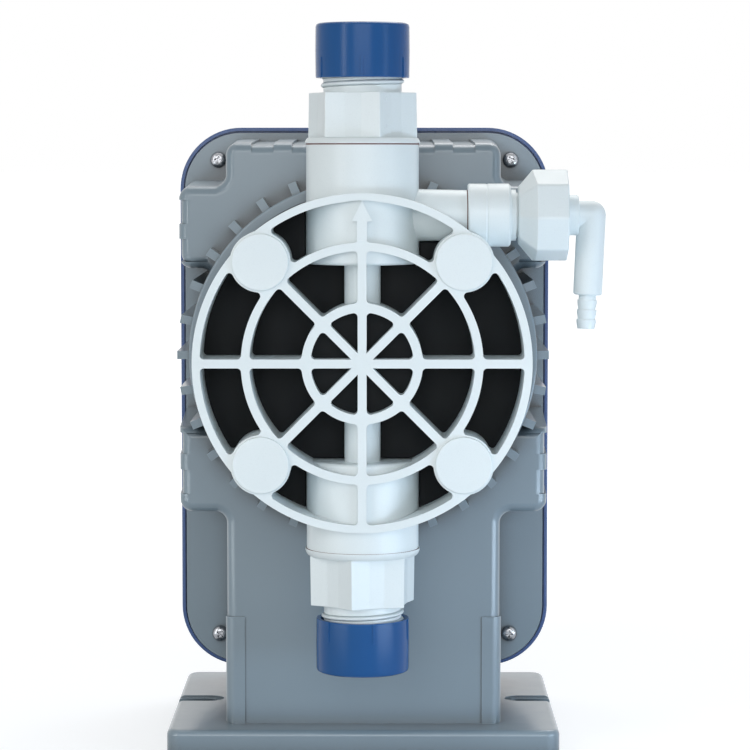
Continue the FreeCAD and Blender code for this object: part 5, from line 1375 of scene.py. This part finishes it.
@dataclass
class CoverScrews:
    """Pan-head screws with a tapered cross recess."""

    bench: Bench
    place_x: float = 64.2
    place_z: tuple[float, float] = (79.7, -130.3)
    face_y: float = 20.0
    head_radius: float = 3.5
    head: float = 2.4
    shank_radius: float = 2.0
    length: float = 18.0
    arm_length: float = 4.4
    arm_width: float = 1.05
    recess: float = 1.7
    turns: tuple[float, ...] = (12.0, 38.0, -20.0, 4.0)

    def arm(self, heading: float, place: Matrix) -> bmesh.types.BMesh:
        """One tapered arm of the cross.

        Args:
            heading: Turn of the arm in degrees.
            place: Place of the screw's front.

        Returns:
            The closed tool.
        """
        tool = bmesh.new()
        made = bmesh.ops.create_cube(tool, size=1.0, matrix=Matrix.Diagonal(
            (self.arm_length * MM, 2 * self.recess * MM, self.arm_width * MM, 1.0)))
        deep = [vert for vert in made["verts"] if vert.co.y > 0]
        bmesh.ops.scale(tool, vec=(0.5, 1.0, 0.5), verts=deep)
        turn = Matrix.Rotation(math.radians(heading), 4, "Y")
        bmesh.ops.transform(tool, matrix=place @ turn, verts=tool.verts[:])
        return tool

    def screw(self, x: float, z: float, heading: float) -> list[bmesh.types.BMesh]:
        """Head and shank of one screw.

        Args:
            x: The screw's place to the right, in millimetres.
            z: The screw's place over the pump's axis, in millimetres.
            heading: Turn of its cross in degrees.

        Returns:
            The two closed shapes.
        """
        radius = self.head_radius
        profile = [(0.0, 0.0), (radius - 0.15, 0.0), (radius, 0.3), (radius - 0.1, 1.0),
                   (radius - 0.5, 1.7), (radius - 1.2, 2.2), (radius - 2.0, self.head),
                   (0.0, self.head)]
        head = self.bench.turned(profile, (x, self.face_y, AXIS_Z + z), Heading.FRONT,
                                 SMALL_STEPS)
        place = Matrix.Translation(Vector((x, self.face_y - self.head, AXIS_Z + z)) * MM)
        for turn in (heading, heading + 90.0):
            head = self.bench.cut(head, self.arm(turn, place))
        shank = self.bench.rod(self.shank_radius, (x, self.face_y - 0.3, AXIS_Z + z),
                               (x, self.face_y + self.length, AXIS_Z + z), TINY_STEPS)
        return [head, shank]

    def build(self) -> None:
        """Builds the four screws as one piece."""
        places = [(side * self.place_x, z) for side in (-1, 1) for z in self.place_z]
        shapes = []
        for (x, z), heading in zip(places, self.turns):
            shapes += self.screw(x, z, heading)
        self.bench.finished(self.bench.joined(shapes), "cover_screws_crossed", "pump_body",
                            "chrome_screw", ("cover_screws",), 0.1, 2)


class Sign(Enum):
    """Raised signs on the keys, as outlines in shares of the sign's half width."""

    START = (((-0.8, 0.9), (-0.8, -0.9), (0.9, 0.0)),)
    MENU = (((-0.9, 0.8), (-0.9, 0.5), (0.9, 0.5), (0.9, 0.8)),
            ((-0.9, 0.15), (-0.9, -0.15), (0.9, -0.15), (0.9, 0.15)),
            ((-0.9, -0.5), (-0.9, -0.8), (0.9, -0.8), (0.9, -0.5)))
    DOWN = (((-0.9, 0.6), (0.0, -0.8), (0.9, 0.6)),)
    UP = (((-0.9, -0.6), (0.9, -0.6), (0.0, 0.8)),)
    ENTER = (((0.6, 0.8), (0.6, 0.0), (-0.2, 0.0), (-0.2, -0.3), (0.9, -0.3), (0.9, 0.8)),
             ((-0.95, -0.15), (-0.2, -0.75), (-0.2, 0.45)))


@dataclass
class ControlPanel:
    """Signs on the keys, a frame round the window and the digits of the display."""

    bench: Bench
    rear_y: float = 60.0
    back_y: float = 58.0
    key_proud: float = 1.6
    key_pitch: float = 17.0
    key_z: float = 8.0
    light_pitch: float = 12.0
    light_z: float = -8.0
    sign_half: float = 1.9
    sign_proud: float = 0.15
    sunk: float = 0.1
    mark_drop: float = 3.6
    mark_width: float = 3.0
    mark_growth: float = 1.6
    mark_height: float = 0.7
    window_z: float = 40.0
    window: tuple[float, float] = (64.0, 30.0)
    frame_gap: float = 1.2
    frame_width: float = 1.8
    digit: tuple[float, float] = (8.0, 15.0)
    digit_pitch: float = 12.5
    stroke: float = 1.5
    digit_sunk: float = 0.05
    digit_proud: float = 0.04
    shown: tuple[str, ...] = ("abcdef", "bc", "abdeg", "acdefg")
    signs: dict[str, Sign] = field(default_factory=lambda: {
        "start_key": Sign.START, "menu_key": Sign.MENU, "down_key": Sign.DOWN,
        "up_key": Sign.UP, "enter_key": Sign.ENTER})

    def plate(self, outline: Sequence[tuple[float, float]], centre: tuple[float, float],
              y0: float, y1: float) -> bmesh.types.BMesh:
        """Flat plate on the rear face, drawn as it is seen from behind.

        Args:
            outline: Corners to the right and up as seen from behind, in millimetres.
            centre: (x, z) of the outline's origin, z over the pump's axis.
            y0: Front of the plate.
            y1: Rear of the plate.

        Returns:
            The closed plate.
        """
        x, z = centre
        return self.bench.prism([(x - right, AXIS_Z + z + up) for right, up in outline], y0, y1)

    def bar(self, right: float, up: float, width: float, height: float,
            centre: tuple[float, float], y0: float, y1: float) -> bmesh.types.BMesh:
        """Small rectangular plate about a point.

        Args:
            right: The point's place to the right as seen from behind, in millimetres.
            up: The point's place upwards.
            width: Width of the plate.
            height: Height of the plate.
            centre: (x, z) from which right and up count, z over the pump's axis.
            y0: Front of the plate.
            y1: Rear of the plate.

        Returns:
            The closed plate.
        """
        half, rise = width / 2, height / 2
        return self.plate(((right - half, up - rise), (right + half, up - rise),
                           (right + half, up + rise), (right - half, up + rise)),
                          centre, y0, y1)

    def key_signs(self) -> None:
        """Raised white sign on each key."""
        first = -self.key_pitch * (len(self.signs) - 1) / 2
        top = self.rear_y + self.key_proud
        for index, (key, sign) in enumerate(self.signs.items()):
            centre = (first + index * self.key_pitch, self.key_z)
            shapes = [self.plate([(right * self.sign_half, up * self.sign_half)
                                  for right, up in outline], centre, top - self.sunk,
                                 top + self.sign_proud) for outline in sign.value]
            self.bench.finished(self.bench.joined(shapes), key + "_sign",
                                self.bench.bodies[key], "ceramic", (), 0.04, 2)

    def window_frame(self) -> None:
        """Dark raised frame round the display's window."""
        width, height = self.window
        across, rise = width / 2 + self.frame_gap, height / 2 + self.frame_gap
        reach = self.frame_width
        place = ((0.0, self.window_z), self.rear_y - self.sunk, self.rear_y + self.sign_proud)
        rails = []
        for side in (-1, 1):
            rails.append(self.bar(side * (across + reach / 2), 0.0, reach, 2 * (rise + reach),
                                  *place))
            rails.append(self.bar(0.0, side * (rise + reach / 2), 2 * across, reach, *place))
        frame_shape = rails[0]
        for rail in rails[1:]:
            frame_shape = self.bench.cut(frame_shape, rail, "UNION")
        self.bench.finished(frame_shape, "window_frame", "pump_body", "plate_black", (), 0.05, 2)

    def light_marks(self) -> None:
        """Short raised bar under each lamp, longer from lamp to lamp."""
        bars = []
        for index in (-1, 0, 1):
            width = self.mark_width + self.mark_growth * (index + 1)
            bars.append(self.bar(0.0, -self.mark_drop, width, self.mark_height,
                                 (index * self.light_pitch, self.light_z),
                                 self.rear_y - self.sunk, self.rear_y + self.sign_proud))
        self.bench.finished(self.bench.joined(bars), "lamp_marks", "pump_body",
                            "plate_black", (), 0.04, 2)

    def strokes(self, segments: str, centre: tuple[float, float]) -> list[bmesh.types.BMesh]:
        """The dark strokes of one seven-segment digit.

        Args:
            segments: Letters of the strokes that show.
            centre: (x, z) of the digit's middle, z over the pump's axis.

        Returns:
            The strokes.
        """
        width, height = self.digit
        rise, long_stroke = height / 2, height / 2 - 1.2 * self.stroke
        places = {
            "a": (0.0, rise, width - self.stroke, self.stroke),
            "b": (width / 2, rise / 2, self.stroke, long_stroke),
            "c": (width / 2, -rise / 2, self.stroke, long_stroke),
            "d": (0.0, -rise, width - self.stroke, self.stroke),
            "e": (-width / 2, -rise / 2, self.stroke, long_stroke),
            "f": (-width / 2, rise / 2, self.stroke, long_stroke),
            "g": (0.0, 0.0, width - self.stroke, self.stroke)}
        front, rear = self.back_y - self.digit_sunk, self.back_y + self.digit_proud
        return [self.bar(*places[letter], centre, front, rear) for letter in segments]

    def digits(self) -> None:
        """Dark digits on the display, behind the window."""
        shapes = []
        count = len(self.shown)
        for index, segments in enumerate(self.shown):
            right = (index - (count - 1) / 2) * self.digit_pitch
            shapes += self.strokes(segments, (-right, self.window_z))
        self.bench.finished(self.bench.joined(shapes), "display_digits", "pump_body",
                            "plate_black", (), 0.0)

    def build(self) -> None:
        """Builds the panel's signs, frame and digits."""
        self.key_signs()
        self.window_frame()
        self.light_marks()
        self.digits()


@dataclass(frozen=True)
class Lamp:
    """Soft rectangular lamp that the camera doesn't see, in metres and watts."""

    name: str
    place: Point
    size: tuple[float, float]
    power: float
    colour: Colour = (1.0, 1.0, 1.0)
    aim: Point = (0.0, -0.05, 0.17)

    def build(self) -> None:
        """Hangs the lamp."""
        data = bpy.data.lights.new(self.name, "AREA")
        data.shape = "RECTANGLE"
        data.size, data.size_y = self.size
        data.energy = self.power
        data.color = self.colour
        item = bpy.data.objects.new(self.name, data)
        item.location = self.place
        run = Vector(self.aim) - Vector(self.place)
        item.rotation_euler = run.to_track_quat("-Z", "Y").to_euler()
        item.visible_camera = False
        bpy.context.scene.collection.objects.link(item)


LAMPS = (
    Lamp("key_left", (-1.04, -1.13, 0.65), (0.22, 1.2), 5.6),
    Lamp("key_right", (1.25, -0.85, 0.65), (0.34, 1.23), 2.8, (0.70, 0.85, 1.0)),
    Lamp("front_fill", (0.0, -2.2, 0.7), (1.6, 1.0), 13.6),
    Lamp("overhead", (0.05, 0.35, 1.25), (0.9, 0.5), 3.2),
    Lamp("rear_fill", (0.5, 1.3, 1.7), (1.2, 0.8), 9.0),
    Lamp("low_right", (0.33, -0.30, 0.03), (0.3, 0.1), 0.85, (0.66, 0.82, 1.0),
         (0.05, 0.0, 0.06)),
    Lamp("low_left", (-0.36, -0.34, 0.03), (0.3, 0.1), 0.28, (0.90, 0.97, 1.0),
         (-0.05, 0.0, 0.06)),
)


@dataclass
class Studio:
    """White floor and surroundings, soft lamps and the photograph's camera."""

    camera_place: Point = (8.6, -1274.0, 247.4)
    pitch_down: float = 4.287
    yaw_left: float = 0.176
    lens: float = 140.9
    film_width: float = 36.0
    nearest: float = 0.05
    world_colour: Colour = (0.95, 0.98, 1.0)
    world_strength: float = 0.25
    floor_half: float = 40.0
    floor_roughness: float = 0.8
    floor_specular: float = 0.1
    floor_colour: Colour = (0.50, 0.52, 0.54)
    floor_glow: tuple[float, float] = (0.64, 1.0)
    floor_reach: tuple[float, float] = (0.25, 0.9)

    def seen_directly(self, tree: bpy.types.NodeTree) -> bpy.types.NodeSocket:
        """Factor that is 1 for rays of the camera, of gloss and through clear pieces.

        Args:
            tree: Node tree that gets the nodes.

        Returns:
            The factor's socket.
        """
        path = tree.nodes.new("ShaderNodeLightPath")
        seen = path.outputs["Is Camera Ray"]
        for other in ("Is Glossy Ray", "Is Transmission Ray"):
            either = tree.nodes.new("ShaderNodeMath")
            either.operation = "MAXIMUM"
            tree.links.new(seen, either.inputs[0])
            tree.links.new(path.outputs[other], either.inputs[1])
            seen = either.outputs["Value"]
        return seen

    def surroundings(self) -> None:
        """World that is white where it is seen, and even light otherwise."""
        world = bpy.data.worlds.new("white_room")
        bpy.context.scene.world = world
        world.use_nodes = True
        tree = world.node_tree
        tree.nodes.clear()
        output = tree.nodes.new("ShaderNodeOutputWorld")
        light = tree.nodes.new("ShaderNodeBackground")
        light.inputs["Color"].default_value = (*self.world_colour, 1.0)
        light.inputs["Strength"].default_value = self.world_strength
        white = tree.nodes.new("ShaderNodeBackground")
        white.inputs["Color"].default_value = (1.0, 1.0, 1.0, 1.0)
        mix = tree.nodes.new("ShaderNodeMixShader")
        tree.links.new(self.seen_directly(tree), mix.inputs["Fac"])
        tree.links.new(light.outputs["Background"], mix.inputs[1])
        tree.links.new(white.outputs["Background"], mix.inputs[2])
        tree.links.new(mix.outputs["Shader"], output.inputs["Surface"])

    def floor(self) -> None:
        """Pale floor that keeps the pump's shadow and is white further out."""
        shape = bmesh.new()
        bmesh.ops.create_grid(shape, x_segments=1, y_segments=1, size=self.floor_half)
        mesh = bpy.data.meshes.new("floor")
        shape.to_mesh(mesh)
        shape.free()
        floor = bpy.data.objects.new("floor", mesh)
        bpy.context.scene.collection.objects.link(floor)
        material = bpy.data.materials.new("floor_white")
        material.use_nodes = True
        tree = material.node_tree
        shader = tree.nodes["Principled BSDF"]
        shader.inputs["Base Color"].default_value = (*self.floor_colour, 1.0)
        shader.inputs["Roughness"].default_value = self.floor_roughness
        shader.inputs["Specular IOR Level"].default_value = self.floor_specular
        place = tree.nodes.new("ShaderNodeTexCoord")
        reach = tree.nodes.new("ShaderNodeVectorMath")
        reach.operation = "LENGTH"
        tree.links.new(place.outputs["Object"], reach.inputs[0])
        fade = tree.nodes.new("ShaderNodeMapRange")
        fade.interpolation_type = "SMOOTHSTEP"
        for key, value in zip(("From Min", "From Max", "To Min", "To Max"),
                              (*self.floor_reach, *self.floor_glow)):
            fade.inputs[key].default_value = value
        tree.links.new(reach.outputs["Value"], fade.inputs["Value"])
        glow = tree.nodes.new("ShaderNodeMath")
        glow.operation = "MULTIPLY"
        tree.links.new(self.seen_directly(tree), glow.inputs[0])
        tree.links.new(fade.outputs["Result"], glow.inputs[1])
        shader.inputs["Emission Color"].default_value = (1.0, 1.0, 1.0, 1.0)
        tree.links.new(glow.outputs["Value"], shader.inputs["Emission Strength"])
        mesh.materials.append(material)

    def camera(self) -> None:
        """Camera at the photograph's viewpoint."""
        data = bpy.data.cameras.new("camera")
        data.lens = self.lens
        data.sensor_width = self.film_width
        data.clip_start = self.nearest
        item = bpy.data.objects.new("camera", data)
        item.location = Vector(self.camera_place) * MM
        item.rotation_euler = (math.radians(90 - self.pitch_down), 0.0,
                               math.radians(self.yaw_left))
        bpy.context.scene.collection.objects.link(item)
        bpy.context.scene.camera = item

    def build(self) -> None:
        """Builds the whole studio."""
        self.surroundings()
        self.floor()
        for lamp in LAMPS:
            lamp.build()
        self.camera()
        bpy.context.scene.view_settings.view_transform = "Standard"


# CAD nodes whose edges are softened: width in millimetres and segments
SOFTENED = {
    "base_foot": (0.9, 3), "main_casing": (0.7, 3), "rear_cover": (0.4, 2),
    "head_face_plate": (0.5, 2), "pump_head": (0.5, 3), "drive_flange": (0.5, 2),
    "gland_nut": (0.4, 3), "cable_gland": (0.3, 2),
    "signal_sockets": (0.25, 2), "panel_fascia": (0.15, 2),
}


def main() -> None:
    """Builds the scene piece by piece."""
    logging.basicConfig(level=logging.INFO, format="%(name)s: %(message)s")
    paints = Paintbox()
    bench = Bench(paints)
    for node in frame["nodes"]:
        paints.dress_node(node)
    for node, (width, segments) in SOFTENED.items():
        bench.softened(node, width, segments)
    HeadWheel(bench).build()
    BoltCaps(bench).build()
    ValvePort(bench, "discharge", face_z=AXIS_Z + 86.0, up=1, wrench=17.8, lobe_turn=-41.5,
              rib_turn=0.0, spigot=10.0, marks=((-71.5, 15.2), (-71.5, 4.6))).build()
    ValvePort(bench, "suction", face_z=AXIS_Z - 75.7, up=-1, wrench=19.9, lobe_turn=-11.0,
              rib_turn=14.0, spigot=10.0, lip=0.45).build()
    AirVent(bench).build()
    CoverScrews(bench).build()
    ControlPanel(bench).build()
    Studio().build()


if __name__ == "__main__":
    main()
